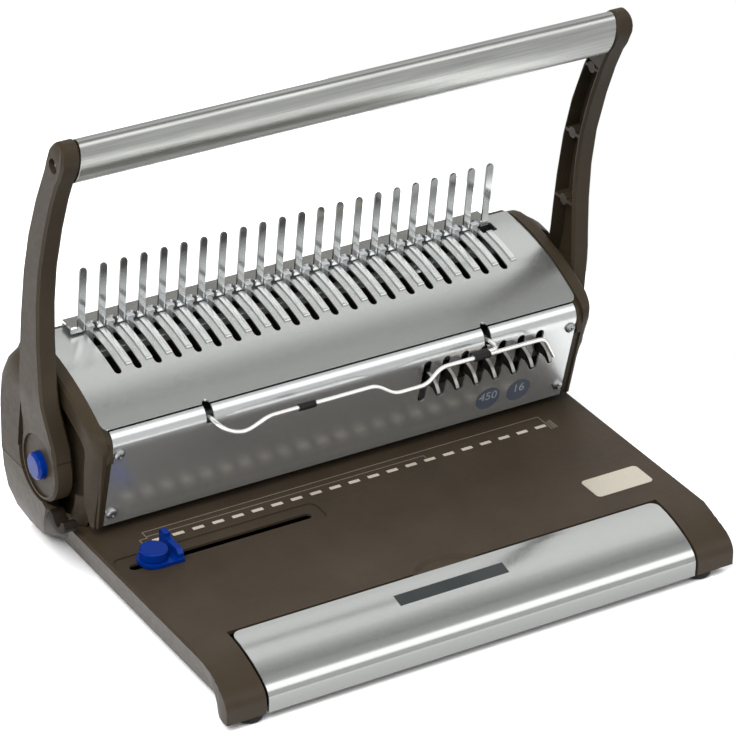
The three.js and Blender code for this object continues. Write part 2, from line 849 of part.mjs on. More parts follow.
function combPlate() {
  const low = (y) => coverHeight(y) + fit;
  const outline = [
    point(combFront, low(combFront) + ribRise), point(combFront + combSheet, low(combFront) + ribRise),
    point(combFront + combSheet, combTop - combSheet),
    point(combBack - combSheet, combTop - combSheet), point(combBack - combSheet, low(combBack)),
    point(combBack, low(combBack)), point(combBack, combTop - combSheet / 2),
    point(combBack - combSheet / 2, combTop), point(combFront + combSheet / 2, combTop),
    point(combFront, combTop - combSheet / 2),
  ];
  let plate = sideways(outline, -combHalfWidth, combHalfWidth);
  for (let tooth = 0; tooth < toothCount; tooth += 1) plate = plate.add(finger(tooth));
  for (let tooth = 0; tooth < holeCount; tooth += 1) plate = cut(plate, hookRoom(tooth));
  return plate;
}

// Room in the comb plate's front fold for a hook at rest
function hookRoom(tooth) {
  const x = toothX(tooth) + coverSlotOffset;
  return box(x - coverSlotWidth / 2, x + hookRoomReach, combFront - overrun, openerY + hookDepth,
    coverCrestZ - overrun, hookTop + play);
}

function combCrossbar() {
  const top = coverHeight(crossbarFront) - coverSheet - fit;
  return box(-frameInner + fit, frameInner - fit, crossbarFront, crossbarBack, top - crossbarHeight, top);
}

// Side casings: the side view follows the panel, the cover and the back, each moved inward by an inset
function casingLine(frontInset, inset, footInset = frontInset) {
  const low = panelBottomZ + inset;
  const seam = seamY - pillarLip + frontInset;
  const sink = coverSheet - inset / crownShare;
  const front = panelLine(low).map((p) => (
    point(p.x - pillarLip + frontInset, p.y + coverHeight(seam) - seamZ + sink)));
  front[0].set(front[0].x - frontInset + footInset, low);
  const over = coverLine(seam + casingEdge, casingCornerY, sink, 8);
  const crest = coverCrestZ + sink;
  const back = new THREE.QuadraticBezierCurve(over[over.length - 1],
    point(bodyRear - inset, crest), point(bodyRear - inset, crest - casingCornerDrop));
  return [...front, ...over, ...back.getPoints(6).slice(1), point(bodyRear - inset, low)];
}

// The same view carried down below its foot
function casingCut(inset, x0, x1) {
  const line = casingLine(inset, inset);
  line[0].y = baseTop - overrun;
  line[line.length - 1].y = baseTop - overrun;
  return sideways(line, x0, x1);
}

function ringAt(line, x) {
  return line.map((p) => new THREE.Vector3(x, p.x, p.y)).reverse();
}

// How far out each ring of the shell stands, and its insets at the front and elsewhere, as shares
const shellShares = [[0, 0, 0], [0.3, 0.02, 0], [0.55, 0.1, 0], [0.76, 0.27, 0.12], [0.91, 0.52, 0.45], [1, 1, 1]];

function casing() {
  const shell = loft(shellShares.map(([out, front, over]) => ringAt(
    casingLine(casingFrontEdge * front, casingEdge * over, casingFrontEdge * out),
    casingInner + (casingRim - casingInner) * out)));
  const recess = casingCut(casingRimBand, casingRecess, casingRim + overrun);
  const body = join(cut(shell, recess), casingBack(), pillarFlange());
  const bore = rodAlongX(0, armOuter + overrun, pivotY, pivotZ, shaftRadius + 2 * play);
  const baseRoom = box(0, 2 * armOuter, bulgeFront - seamGap, 2 * bodyRear, 0, bulgeTop);
  return cut(body, bore, hubRoom(), baseRoom);
}

// The pillar's inner edge, which closes the gap beside the panel
function pillarFlange() {
  const line = panelLine(panelBottomZ, pillarRise);
  const outline = sheetOutline(line, -casingRimBand / 2);
  return sideways(outline, panelHalfWidth + fit, casingInner + casingWall);
}

// How far out each ring of the rear stands, and how far it drops and steps forward, as shares
const backShares = [[-0.05, 0, 0.1], [0.4, 0.05, 0.12], [0.68, 0.15, 0.2], [0.87, 0.32, 0.4], [1, 0.56, 0.95]];

// The deep rear of the casing, behind the arm, rounded off towards its outer face
function backOutline(drop, rear) {
  const over = coverLine(backStart, rear - backCorner, -drop, 3);
  const last = over[over.length - 1];
  const corner = new THREE.QuadraticBezierCurve(last, point(rear, last.y), point(rear, last.y - backCorner));
  return [point(backStart, bulgeTop - fit), ...over, ...corner.getPoints(7).slice(1), point(rear, bulgeTop - fit)];
}

function casingBack() {
  const rings = backShares.map(([out, over, behind]) => ringAt(
    backOutline(backDrop * over, bodyRear - backEdge * behind),
    casingRecess + (bulgeHalfWidth - casingRecess) * out));
  const inner = pivotY + hubRadius + play + 2 * armWall;
  const room = sideways(
    [point(inner, 0), point(inner, pivotZ + hubBossRadius), point(bodyRear - 2 * backEdge, pivotZ + hubBossRadius),
      point(bodyRear - 2 * backEdge, 0)], casingRecess - casingWall, bulgeHalfWidth - casingWall);
  return cut(loft(rings), room, armRoom());
}

// Handle, drawn round its pivot
const armFrontShares = [[-0.2104, 0.97], [-0.182, 0.925], [-0.131, 0.803], [-0.079, 0.628], [-0.062, 0.475],
  [-0.065, 0.322], [-0.074, 0.204], [-0.087, 0.125], [-0.098, 0.05]];
const armRearShares = [[0.105, 0.007], [0.094, 0.09], [0.073, 0.2], [0.056, 0.313], [0.045, 0.431], [0.012, 0.628],
  [-0.043, 0.803], [-0.122, 0.969]];
const armRibShares = [0.404, 0.63, 0.868];
const hubOuter = armOuter - armJog;

function armEdgeLine(shares, steps) {
  return new THREE.SplineCurve(shares.map(([y, z]) => point(y * armRise, z * armRise))).getPoints(steps);
}

// An oval round the grip's centre, leaning forward, from one angle to another
function gripOval(halfHeight, halfDepth, from, to, steps) {
  return arc(0, 0, 1, from, to, steps).map((p) => point(p.x * halfDepth, p.y * halfHeight)
    .rotateAround(point(0, 0), tubeTilt).add(point(tubeOffset, armRise)));
}

function gripRod(halfHeight, halfDepth, x0, x1) {
  return sideways(gripOval(halfHeight, halfDepth, 0, 2 * Math.PI, 32).slice(1), x0, x1);
}

function armOutline() {
  return [
    ...armEdgeLine(armRearShares, 10),
    ...gripOval(headHalfHeight, headHalfDepth, headStart, Math.PI - headStart, 9),
    ...armEdgeLine(armFrontShares, 11),
    ...arc(0, 0, hubRadius, hubArcStart, 2 * Math.PI, 14),
  ];
}

function armHollow() {
  const inside = (line) => line.filter((p) => p.y > armHollowLow && p.y < armHollowHigh);
  const rear = inside(shifted(armEdgeLine(armRearShares, 14), armWall));
  const front = inside(shifted(armEdgeLine(armFrontShares, 16), armWall));
  let hollow = sideways([...rear, ...front], armInner - overrun, armOuter - armWall);
  for (const share of armRibShares) {
    const y = ribCentre(share);
    hollow = cut(hollow,
      box(0, armOuter, -armRise, armRise, share * armRise - armRib / 2, share * armRise + armRib / 2),
      rodAlongX(0, armOuter, y, share * armRise, armBoss, 12));
  }
  return hollow;
}

// Mid-depth of the arm at a share of its height
function ribCentre(share) {
  const at = (shares) => {
    const points = new THREE.SplineCurve(shares.map(([y, z]) => point(y, z))).getPoints(60);
    return points.reduce((best, p) => (Math.abs(p.y - share) < Math.abs(best.y - share) ? p : best)).x;
  };
  return armRise * (at(armFrontShares) + at(armRearShares)) / 2;
}

// The casing is cut away behind the arm
function armRoom() {
  const rear = shifted(armEdgeLine(armRearShares, 10), -armGap).map((p) => point(p.x + pivotY, p.y + pivotZ));
  const outline = [...rear, point(0, rear[rear.length - 1].y), point(0, pivotZ)];
  return sideways(outline, armInner - armJog - play, armOuter + overrun);
}

// The arm steps inward towards its hub, and its outer face rounds off over the head
function jogged(body) {
  const middle = (armInner + armOuter) / 2;
  return body.refineToLength(jogStep).warp((place) => {
    const outward = Math.max(place[0] - middle, 0) / (armOuter - middle);
    const overHead = Math.max(place[2] - headEdgeStart, 0) / headEdgeHeight;
    place[0] -= armJog * Math.min(Math.max((jogTop - place[2]) / jogHeight, 0), 1);
    place[0] -= headEdge * outward * Math.min(overHead, 1) ** 2;
  });
}

function handleArm(isLeft) {
  const plate = sideways(armOutline(), armInner, armOuter, armEdge);
  const boss = rodAlongX(casingRecess + play + armJog, armInner + armEdge * 2, 0, 0, hubBossRadius);
  const spigot = gripRod(tubeHalfHeight - tubeWall - fit, tubeHalfDepth - tubeWall - fit,
    armInner - spigotLength, armInner + armEdge * 2);
  const face = rodAlongX(armOuter - hubStep, armOuter + overrun, 0, 0, hubStepRadius, 28);
  const bore = rodAlongX(0, shaftEnd + fit + armJog, 0, 0, shaftRadius + fit / 3);
  const pocketRadius = (isLeft ? buttonRadius : hubCapRadius) + fit;
  const pocket = rodAlongX(armOuter - hubPocket, armOuter + overrun, 0, 0, pocketRadius, 28);
  const screwSeat = rodAlongX(armOuter - armScrewDepth, armOuter + overrun, tubeOffset, armRise, armScrewRadius + fit);
  const screwBore = rodAlongX(armInner - 2 * spigotLength, armOuter + overrun, tubeOffset, armRise, screwShank + fit, 12);
  return cut(jogged(cut(join(plate, boss, spigot), armHollow(), face, bore, pocket)), screwSeat, screwBore);
}

function gripTube() {
  const end = armInner - fit;
  return cut(gripRod(tubeHalfHeight, tubeHalfDepth, -end, end),
    gripRod(tubeHalfHeight - tubeWall, tubeHalfDepth - tubeWall, -end - overrun, end + overrun));
}

function armScrew() {
  const seat = armOuter - armScrewDepth + fit / 2;
  const crown = seat + armScrewHead;
  const profile = [
    point(0, armInner - spigotLength / 2), point(screwShank, armInner - spigotLength / 2), point(screwShank, seat),
    point(armScrewRadius, seat), point(armScrewRadius, seat + armScrewHead / 2),
    point(armScrewRadius / 2, crown), point(0, crown),
  ];
  return turnedAlongX(profile, tubeOffset, armRise, 12);
}

function hubButton() {
  const seat = hubOuter - hubPocket + buttonTravel + fit;
  const face = hubOuter + buttonProud;
  const profile = [
    point(0, seat), point(buttonRadius, seat), point(buttonRadius, face - buttonEdge),
    point(buttonRadius - buttonEdge, face), point(0, face),
  ];
  return turnedAlongX(profile, 0, 0);
}

function hubCap() {
  const seat = hubOuter - hubPocket + fit;
  const face = hubOuter - hubStep;
  const profile = [
    point(0, seat), point(hubCapRadius, seat), point(hubCapRadius, face - buttonEdge / 2),
    point(hubCapRadius - buttonEdge / 2, face), point(0, face),
  ];
  return turnedAlongX(profile, 0, 0);
}

function pivotShaft() {
  return rodAlongX(-shaftEnd, shaftEnd, 0, 0, shaftRadius);
}

// A spiral whose radius grows evenly with the turn, so that the punch bar follows the handle evenly
function punchCam() {
  const steps = 14;
  const outline = [];
  for (let i = 0; i <= steps; i += 1) {
    const turn = handleSwing * i / steps;
    const radius = camBaseRadius + punchTravel * i / steps;
    outline.push(point(-radius * Math.sin(turn), -radius * Math.cos(turn)));
  }
  outline.push(...arc(0, 0, camBackRadius, camBackStart, camBackEnd, 14));
  const bore = rodAlongX(camX - camWidth, camX + camWidth, 0, 0, shaftRadius + fit);
  return cut(sideways(outline, camX - camWidth / 2, camX + camWidth / 2), bore);
}

// The opener lever points behind upright at rest and as far forward at the end of the swing
const leverLength = openerTravel / 2 / Math.sin(handleSwing / 2);
const upTurn = Math.PI / 2 + openerTilt;

function along(angle, distance) {
  return point(distance * Math.cos(angle), distance * Math.sin(angle));
}

function openerLever() {
  const angle = upTurn - handleSwing / 2;
  const tip = along(angle, leverLength);
  const outline = [
    ...arc(tip.x, tip.y, leverTip, angle - Math.PI / 2, angle + Math.PI / 2, 8),
    ...arc(0, 0, leverHub, angle + Math.PI / 2, angle + 3 * Math.PI / 2, 14),
  ];
  const plate = sideways(outline, leverX, leverX + leverSheet);
  const pin = rodAlongX(leverX + leverSheet / 2, openerPlateInner + openerPlateSheet + fit, tip.x, tip.y,
    driverPinRadius, 16);
  const bore = rodAlongX(leverX - overrun, leverX + leverSheet + overrun, 0, 0, shaftRadius + fit);
  return cut(join(plate, pin), bore);
}

function handleSpring() {
  const coil = rodAlongX(springX, springX + springLength, pivotY, pivotZ, springRadius);
  const bore = rodAlongX(springX - overrun, springX + springLength + overrun, pivotY, pivotZ, shaftRadius + fit);
  return cut(coil, bore);
}

// Comb opener
const slideAlong = along(Math.PI + openerTilt, 1);
const slideUp = along(upTurn, 1);
const openerCentre = point(openerY, openerTop - openerBarHeight / 2);

// A place given along the slide and square to it, from an anchor
function onSlide(anchor, forward, up) {
  return anchor.clone().addScaledVector(slideAlong, forward).addScaledVector(slideUp, up);
}

function slideBox(anchor, back, front, low, high, x0, x1) {
  const corners = [[back, low], [front, low], [front, high], [back, high]];
  return sideways(corners.map(([forward, up]) => onSlide(anchor, forward, up)), x0, x1);
}

function openerComb() {
  const half = openerPlateInner - fit;
  let comb = box(-half, half, openerY - openerBarDepth / 2, openerY + openerBarDepth / 2,
    openerTop - openerBarHeight, openerTop);
  for (let tooth = 0; tooth < holeCount; tooth += 1) comb = comb.add(hook(tooth));
  return comb;
}

function hook(tooth) {
  const x = toothX(tooth) + coverSlotOffset;
  const half = hookWidth / 2;
  const outline = [
    point(x - half, openerTop - fit), point(x + half, openerTop - fit), point(x + half, hookTop - hookNibHeight),
    point(x + half + hookNib - fit, hookTop - hookNibHeight), point(x + half + hookNib - fit, hookTop),
    point(x - half, hookTop),
  ];
  return rearward(outline, openerY - hookDepth / 2, openerY + hookDepth / 2 - fit);
}

function openerPlate() {
  const pivot = point(pivotY, pivotZ);
  const slotCentre = onSlide(pivot, -openerTravel / 2, leverLength);
  const sag = leverLength * (1 - Math.cos(handleSwing / 2));
  const slip = play + 2 * fit / 3;
  const wide = driverPinRadius + slip;
  const web = 3 * driverPinRadius;
  const outline = [
    onSlide(slotCentre, -web, -sag - web), onSlide(slotCentre, web, -sag - web),
    onSlide(slotCentre, web, web), onSlide(openerCentre, openerBarDepth, openerBarHeight / 2),
    onSlide(openerCentre, -openerBarDepth, openerBarHeight / 2),
    onSlide(openerCentre, -openerBarDepth, -openerBarHeight), onSlide(slotCentre, -web, web / 2),
  ];
  const plate = sideways(outline, openerPlateInner, openerPlateInner + openerPlateSheet);
  const slot = slideBox(slotCentre, -wide, wide, -sag - wide, wide,
    openerPlateInner - overrun, openerPlateInner + openerPlateSheet + overrun);
  const tongue = slideBox(openerCentre, -tongueLength / 2, tongueLength / 2, -tongueHeight / 2, tongueHeight / 2,
    openerPlateInner, frameInner + frameSheet + play);
  return join(cut(plate, slot), tongue);
}

// Frame sides
function frameSide() {
  const margin = frameMargin;
  const edge = panelLine(panelBottomZ, frameEdgeShare).map((p) => point(p.x + margin, p.y - margin / 2));
  const top = coverLine(seamY + 3 * margin, frameBack, -coverSheet - margin / 2, 5);
  const low = baseTop + fit;
  const outline = [point(edge[0].x + margin, low), ...edge, ...top, point(frameBack, low)];
  const plate = sideways(outline, frameInner, frameInner + frameSheet);
  const flange = sideways(sheetOutline([
    point(panelFaceY(screwLowerZ - 2 * screwHeadRadius) + panelSheet + fit, screwLowerZ - 2 * screwHeadRadius),
    point(panelFaceY(panelBendZ) + panelSheet + fit, panelBendZ)], -frameSheet - margin),
  frameInner, panelHalfWidth - fit);
  const flangeRoom = sideways(sheetOutline([
    point(panelFaceY(0) + panelSheet + fit + frameSheet, 0),
    point(panelFaceY(coverCrestZ) + panelSheet + fit + frameSheet, coverCrestZ)], -2 * margin),
  frameInner + frameSheet, panelHalfWidth + overrun);
  const footPlate = box(frameInner - frameFoot, frameInner + frameSheet / 2, dieBack + margin, frameBack, low,
    low + frameSheet);
  const openerSlot = slideBox(openerCentre, -tongueLength / 2 - play, tongueLength / 2 + openerTravel + play,
    -tongueHeight / 2 - fit, tongueHeight / 2 + fit, frameInner - overrun, frameInner + frameSheet + overrun);
  const punchSlot = box(frameInner - overrun, frameInner + frameSheet + overrun,
    pivotY - punchTongueDepth / 2 - fit, pivotY + punchTongueDepth / 2 + fit,
    punchBarBottom - punchTravel - play, punchBarBottom + punchBarHeight + fit);
  const bushHole = rodAlongX(frameInner - overrun, frameInner + frameSheet + overrun, pivotY, pivotZ,
    bushRadius + fit / 2);
  let frame = join(plate, cut(flange, flangeRoom), footPlate);
  for (const z of [screwUpperZ, screwLowerZ]) frame = cut(frame, screwHole(1, z));
  return cut(frame, openerSlot, punchSlot, bushHole);
}

function shaftBush() {
  const inner = frameInner - bushFlange - fit;
  const profile = [
    point(shaftRadius + fit / 3, inner), point(bushFlangeRadius, inner),
    point(bushFlangeRadius, inner + bushFlange), point(bushRadius, inner + bushFlange),
    point(bushRadius, frameInner + frameSheet + play), point(shaftRadius + fit / 3, frameInner + frameSheet + play),
    point(shaftRadius + fit / 3, inner),
  ];
  return turnedAlongX(profile, pivotY, pivotZ, 24);
}

// Punch
function pinHole(hole, low, high) {
  const halfX = pinWidth / 2 + pinPlay;
  const halfY = pinDepth / 2 + pinPlay;
  return box(holeX(hole) - halfX, holeX(hole) + halfX, pivotY - halfY, pivotY + halfY, low, high);
}

function diePlate() {
  let plate = box(-frameInner + 2 * fit, frameInner - 2 * fit, dieFront, dieBack, baseTop - dieSheet - fit,
    baseTop - fit);
  for (let hole = 0; hole < holeCount; hole += 1) plate = cut(plate, pinHole(hole, 0, baseTop + overrun));
  return plate;
}

function pinGuide() {
  const low = baseTop + throatHeight;
  const half = frameInner - fit;
  let guide = join(box(-half, half, pinGuideFront, pinGuideBack, low, low + pinGuideSheet),
    box(-half, half, stopFront, pinGuideBack, baseTop, low + pinGuideSheet / 2));
  for (let hole = 0; hole < holeCount; hole += 1) guide = cut(guide, pinHole(hole, low - overrun, low + 2 * pinGuideSheet));
  return guide;
}

function punchBar() {
  const top = punchBarBottom + punchBarHeight;
  const half = frameInner - play;
  const low = baseTop + throatHeight + fit;
  let bar = join(
    box(-half, half, pivotY - punchBarDepth / 2, pivotY + punchBarDepth / 2, punchBarBottom, top),
    box(-frameInner - frameSheet - play, frameInner + frameSheet + play,
      pivotY - punchTongueDepth / 2, pivotY + punchTongueDepth / 2, punchBarBottom, top));
  for (let hole = 0; hole < holeCount; hole += 1) {
    const x = holeX(hole);
    bar = bar.add(box(x - pinWidth / 2, x + pinWidth / 2, pivotY - pinDepth / 2, pivotY + pinDepth / 2,
      low, punchBarBottom + fit));
  }
  return bar;
}

// Holder for punched sheets: a bar behind the panel with seven claws through its slots
function clawOutline() {
  const rootY = panelFaceY(clawBarTop) + panelSheet + fit;
  const frontY = rootY - clawReach - panelSheet;
  const upper = new THREE.QuadraticBezierCurve(
    point(rootY, clawBarTop), point((rootY + frontY) / 2 - clawTip, clawBarTop), point(frontY, clawBarTop - clawDrop));
  const lower = new THREE.QuadraticBezierCurve(
    point(frontY + clawTip / 2, clawBarTop - clawDrop - clawTip / 2),
    point((rootY + frontY) / 2, clawBarTop - clawWaist), point(rootY, clawBarTop - clawRoot));
  return [...upper.getPoints(7), ...lower.getPoints(6), point(rootY + clawBarSheet / 2, clawBarTop - clawDepth),
    point(rootY + clawBarSheet / 2, clawBarTop)];
}

function sheetHolder() {
  const line = [clawBarTop - clawBarHeight, clawBarTop].map((z) => point(panelFaceY(z) + panelSheet + fit, z));
  const first = holeX(clawFirst) - pitch / 2;
  const last = holeX(clawFirst + clawCount - 1) + clawBarEnd;
  let holder = sideways(sheetOutline(line, -clawBarSheet), first, last);
  const outline = clawOutline();
  for (let claw = 0; claw < clawCount; claw += 1) {
    const x = holeX(clawFirst + claw);
    holder = holder.add(sideways(outline, x - clawWidth / 2, x + clawWidth / 2));
  }
  return holder;
}

// Wire bail, drawn round its hinge line
function bentPath(corners) {
  const path = [corners[0]];
  for (let i = 1; i + 1 < corners.length; i += 1) {
    const reach = (other) => {
      const way = other.clone().sub(corners[i]);
      const length = Math.min(wireBend, way.length() / 2);
      return corners[i].clone().addScaledVector(way.normalize(), length);
    };
    const bend = new THREE.QuadraticBezierCurve3(reach(corners[i - 1]), corners[i], reach(corners[i + 1]));
    path.push(...bend.getPoints(4));
  }
  path.push(corners[corners.length - 1]);
  return path;
}

// A round wire through corners, with small bends; its rings are carried along without twist
function wire(corners) {
  const path = bentPath(corners);
  const normal = new THREE.Vector3(0, 0, 1);
  const rings = path.map((here, i) => {
    const before = path[Math.max(i - 1, 0)];
    const after = path[Math.min(i + 1, path.length - 1)];
    const ahead = after.clone().sub(before).normalize();
    normal.addScaledVector(ahead, -normal.dot(ahead)).normalize();
    const side = ahead.clone().cross(normal);
    return arc(0, 0, wireRadius, 0, 2 * Math.PI * (1 - 1 / wireSides), wireSides - 1)
      .map((p) => here.clone().addScaledVector(normal, p.x).addScaledVector(side, p.y));
  });
  return loft(rings);
}

function bailPlace(x, y, z) {
  return new THREE.Vector3(x, y - bailAxisY, z - bailAxisZ);
}

// Corners of the droop at the wire's left end: shares of the way out to the slot, of the way to the bar and of the drop
const bailDroopShares = [[0.99, 0.48, 0.2], [0.937, 0.84, 0.73], [0.859, 1, 1], [0.785, 1, 0.77], [0.683, 1, 0]];

function bailWire() {
  return wire([
    bailPlace(-bailHalfWidth - bailStub, bailAxisY, bailAxisZ),
    bailPlace(-bailHalfWidth, bailAxisY, bailAxisZ),
    bailPlace(-bailHalfWidth, bailSlotY, bailSlotZ),
    ...bailDroopShares.map(([across, out, down]) => (
      bailPlace(-bailHalfWidth * across, bailSlotY + (bailBarY - bailSlotY) * out, bailBarZ - bailDroop * down))),
    bailPlace(bailWaveX - bailWaveHalf, bailBarY, bailBarZ),
    bailPlace(bailWaveX - bailWaveHalf / 2, bailBarY - bailWaveDrop / 3, bailBarZ - bailWaveDrop),
    bailPlace(bailWaveX + bailWaveHalf / 2, bailBarY - bailWaveDrop / 3, bailBarZ - bailWaveDrop),
    bailPlace(bailWaveX + bailWaveHalf, bailBarY, bailBarZ),
    bailPlace(bailEndX, bailBarY, bailBarZ),
    bailPlace(bailEndX + bailEndDrop / 2, bailBarY, bailBarZ - bailEndDrop),
  ]);
}

function bailArm() {
  const beside = bailBarY + 2 * wireRadius + fit;
  return wire([
    bailPlace(bailHalfWidth + bailStub, bailAxisY, bailAxisZ),
    bailPlace(bailHalfWidth, bailAxisY, bailAxisZ),
    bailPlace(bailHalfWidth, bailSlotY, bailSlotZ),
    bailPlace(bailHalfWidth, beside, bailBarZ),
    bailPlace(sleeveRightX - sleeveLength / 2 + play, beside, bailBarZ),
  ]);
}

function bailSleeve(x, wires) {
  const y = bailBarY - bailAxisY;
  const z = bailBarZ - bailAxisZ;
  const spread = (wires - 1) * (2 * wireRadius + fit);
  const outline = (radius) => [
    ...arc(y + spread, z, radius, -Math.PI / 2, Math.PI / 2, 7),
    ...arc(y, z, radius, Math.PI / 2, 3 * Math.PI / 2, 7),
  ];
  const half = sleeveLength / 2;
  return cut(sideways(outline(sleeveRadius), x - half, x + half),
    sideways(outline(wireRadius + fit / 2), x - half - overrun, x + half + overrun));
}

function bailBracket() {
  const x = bailHalfWidth + bailStub - bracketWidth / 2 - play;
  const half = bracketWidth / 2;
  const wall = (z) => point(panelFaceY(z) + panelSheet + fit, z);
  const low = bailAxisZ - bracketSize / 2;
  const outline = [
    wall(low), wall(panelBendZ), point(panelFaceY(panelBendZ) + panelSheet + 2 * fit, bailAxisZ),
    point(bailAxisY - bracketSize / 3, bailAxisZ + bracketSize / 3),
    point(bailAxisY + bracketSize / 3, bailAxisZ + bracketSize / 3),
    point(bailAxisY + bracketSize / 3, bailAxisZ - bracketSize / 3), point(bailAxisY - bracketSize / 3, low),
  ];
  return cut(sideways(outline, x - half, x + half),
    rodAlongX(x - bracketWidth, x + bracketWidth, bailAxisY, bailAxisZ, wireRadius + fit, 12));
}

// Assembly
function piece(name, body, material) {
  const mesh = new THREE.Mesh(geometryOf(body), material());
  mesh.name = name;
  return mesh;
}

const machine = new THREE.Group();
const base = new THREE.Group();
const body = new THREE.Group();
const handle = new THREE.Group();
const bail = new THREE.Group();
handle.position.set(0, pivotY, pivotZ);
bail.position.set(0, bailAxisY, bailAxisZ);
machine.add(base, body, handle, bail);

base.add(
  piece('base_tray', baseTray(), brown),
  piece('floor_plate', floorPlate(), black),
  piece('drawer_cover', drawerCover(), silver),
  piece('drawer_tray', drawerTray(), black),
  piece('guide_slider', guideSlider(), blue),
  piece('guide_knob', guideKnob(), blue),
  piece('guide_nut', guideNutPlate(), black),
);
for (const [name, side] of flanks) {
  const x = side * (baseFootHalfWidth - footInset);
  base.add(piece(`foot_front_${name}`, foot(x, -footFront), black));
  base.add(piece(`foot_rear_${name}`, foot(x, footRear), black));
}

body.add(
  piece('front_panel', frontPanel(), silver),
  piece('top_cover', topCover(), silver),
  piece('rear_cover', rearCover(), brown),
  piece('comb_plate', combPlate(), chrome),
  piece('comb_crossbar', combCrossbar(), steel),
  piece('die_plate', diePlate(), steel),
  piece('pin_guide', pinGuide(), steel),
  piece('punch_bar', punchBar(), steel),
  piece('opener_comb', openerComb(), chrome),
  piece('sheet_holder', sheetHolder(), black),
);
for (const [name, side] of flanks) {
  body.add(
    piece(`casing_${name}`, onSide(side, casing()), brown),
    piece(`frame_${name}`, onSide(side, frameSide()), steel),
    piece(`shaft_bush_${name}`, onSide(side, shaftBush()), steel),
    piece(`handle_spring_${name}`, onSide(side, handleSpring()), steel),
    piece(`opener_plate_${name}`, onSide(side, openerPlate()), steel),
    piece(`bail_bracket_${name}`, onSide(side, bailBracket()), black),
    piece(`panel_screw_upper_${name}`, panelScrew(side, screwUpperZ), chrome),
    piece(`panel_screw_lower_${name}`, panelScrew(side, screwLowerZ), chrome),
  );
  handle.add(
    piece(`handle_arm_${name}`, onSide(side, handleArm(side < 0)), brown),
    piece(`arm_screw_${name}`, onSide(side, armScrew()), steel),
    piece(`punch_cam_${name}`, onSide(side, punchCam()), steel),
    piece(`opener_lever_${name}`, onSide(side, openerLever()), steel),
  );
}
handle.add(
  piece('grip_tube', gripTube(), aluminium),
  piece('pivot_shaft', pivotShaft(), steel),
  piece('hub_button', onSide(-1, hubButton()), blue),
  piece('hub_cap', hubCap(), brown),
);
bail.add(
  piece('bail_wire', bailWire(), chrome),
  piece('bail_arm', bailArm(), chrome),
  piece('bail_sleeve_left', bailSleeve(sleeveLeftX, 1), black),
  piece('bail_sleeve_right', bailSleeve(sleeveRightX, 2), black),
);

machine.position.y = (baseFront - bodyRear) / 2;

export default machine;
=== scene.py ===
import json
import math
import bmesh
import bpy
from mathutils import Matrix, Vector

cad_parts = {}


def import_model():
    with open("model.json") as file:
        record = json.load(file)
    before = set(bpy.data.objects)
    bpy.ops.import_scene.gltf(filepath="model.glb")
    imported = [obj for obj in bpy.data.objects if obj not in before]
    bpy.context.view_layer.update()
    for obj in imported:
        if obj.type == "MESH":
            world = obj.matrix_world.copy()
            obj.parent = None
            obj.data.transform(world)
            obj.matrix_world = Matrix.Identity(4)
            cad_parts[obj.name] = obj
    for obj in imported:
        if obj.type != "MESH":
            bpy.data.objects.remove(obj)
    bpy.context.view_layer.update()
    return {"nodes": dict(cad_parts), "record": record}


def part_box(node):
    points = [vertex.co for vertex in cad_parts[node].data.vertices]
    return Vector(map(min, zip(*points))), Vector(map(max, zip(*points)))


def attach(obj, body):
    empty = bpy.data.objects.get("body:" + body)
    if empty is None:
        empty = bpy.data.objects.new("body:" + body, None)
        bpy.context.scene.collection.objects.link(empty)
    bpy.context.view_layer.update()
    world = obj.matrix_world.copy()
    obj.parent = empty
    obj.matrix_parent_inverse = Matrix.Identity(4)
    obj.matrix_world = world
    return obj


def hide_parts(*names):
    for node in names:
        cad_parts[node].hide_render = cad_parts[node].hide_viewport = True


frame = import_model()
nodes = frame["nodes"]
scene = bpy.context.scene
scene.view_settings.view_transform = "Standard"

# Sizes are in millimetres, with Y = 0 on the printed hole marks; place() turns them into the frame
MM = 0.001
MARK_Y = 25.25
TEETH = 21
TOOTH_PITCH = 14.2875
BASE_TOP = 36.0
# Depth and height of the leaning panel's lower edge and of the bend above it
PANEL_BOTTOM = (20.1, 43.0)
PANEL_BEND = (5.6, 103.0)


def place(x, y, z):
    return Vector((x * MM, (y + MARK_Y) * MM, z * MM))


# Materials
NOISE_SPAN = (0.3, 0.7)
NOISE_ROUGHNESS = 0.55
SURFACE_IOR = 1.5
# The sockets of a mix node that mixes colours
MIX_FACTOR, MIX_FIRST, MIX_SECOND, MIX_RESULT = 0, 6, 7, 2


def linear(colour):
    """A colour in steps of 255, as a screen shows it, turned into linear light."""
    return tuple(
        (c / 255 / 12.92 if c <= 10 else ((c / 255 + 0.055) / 1.055) ** 2.4) for c in colour
    ) + (1.0,)


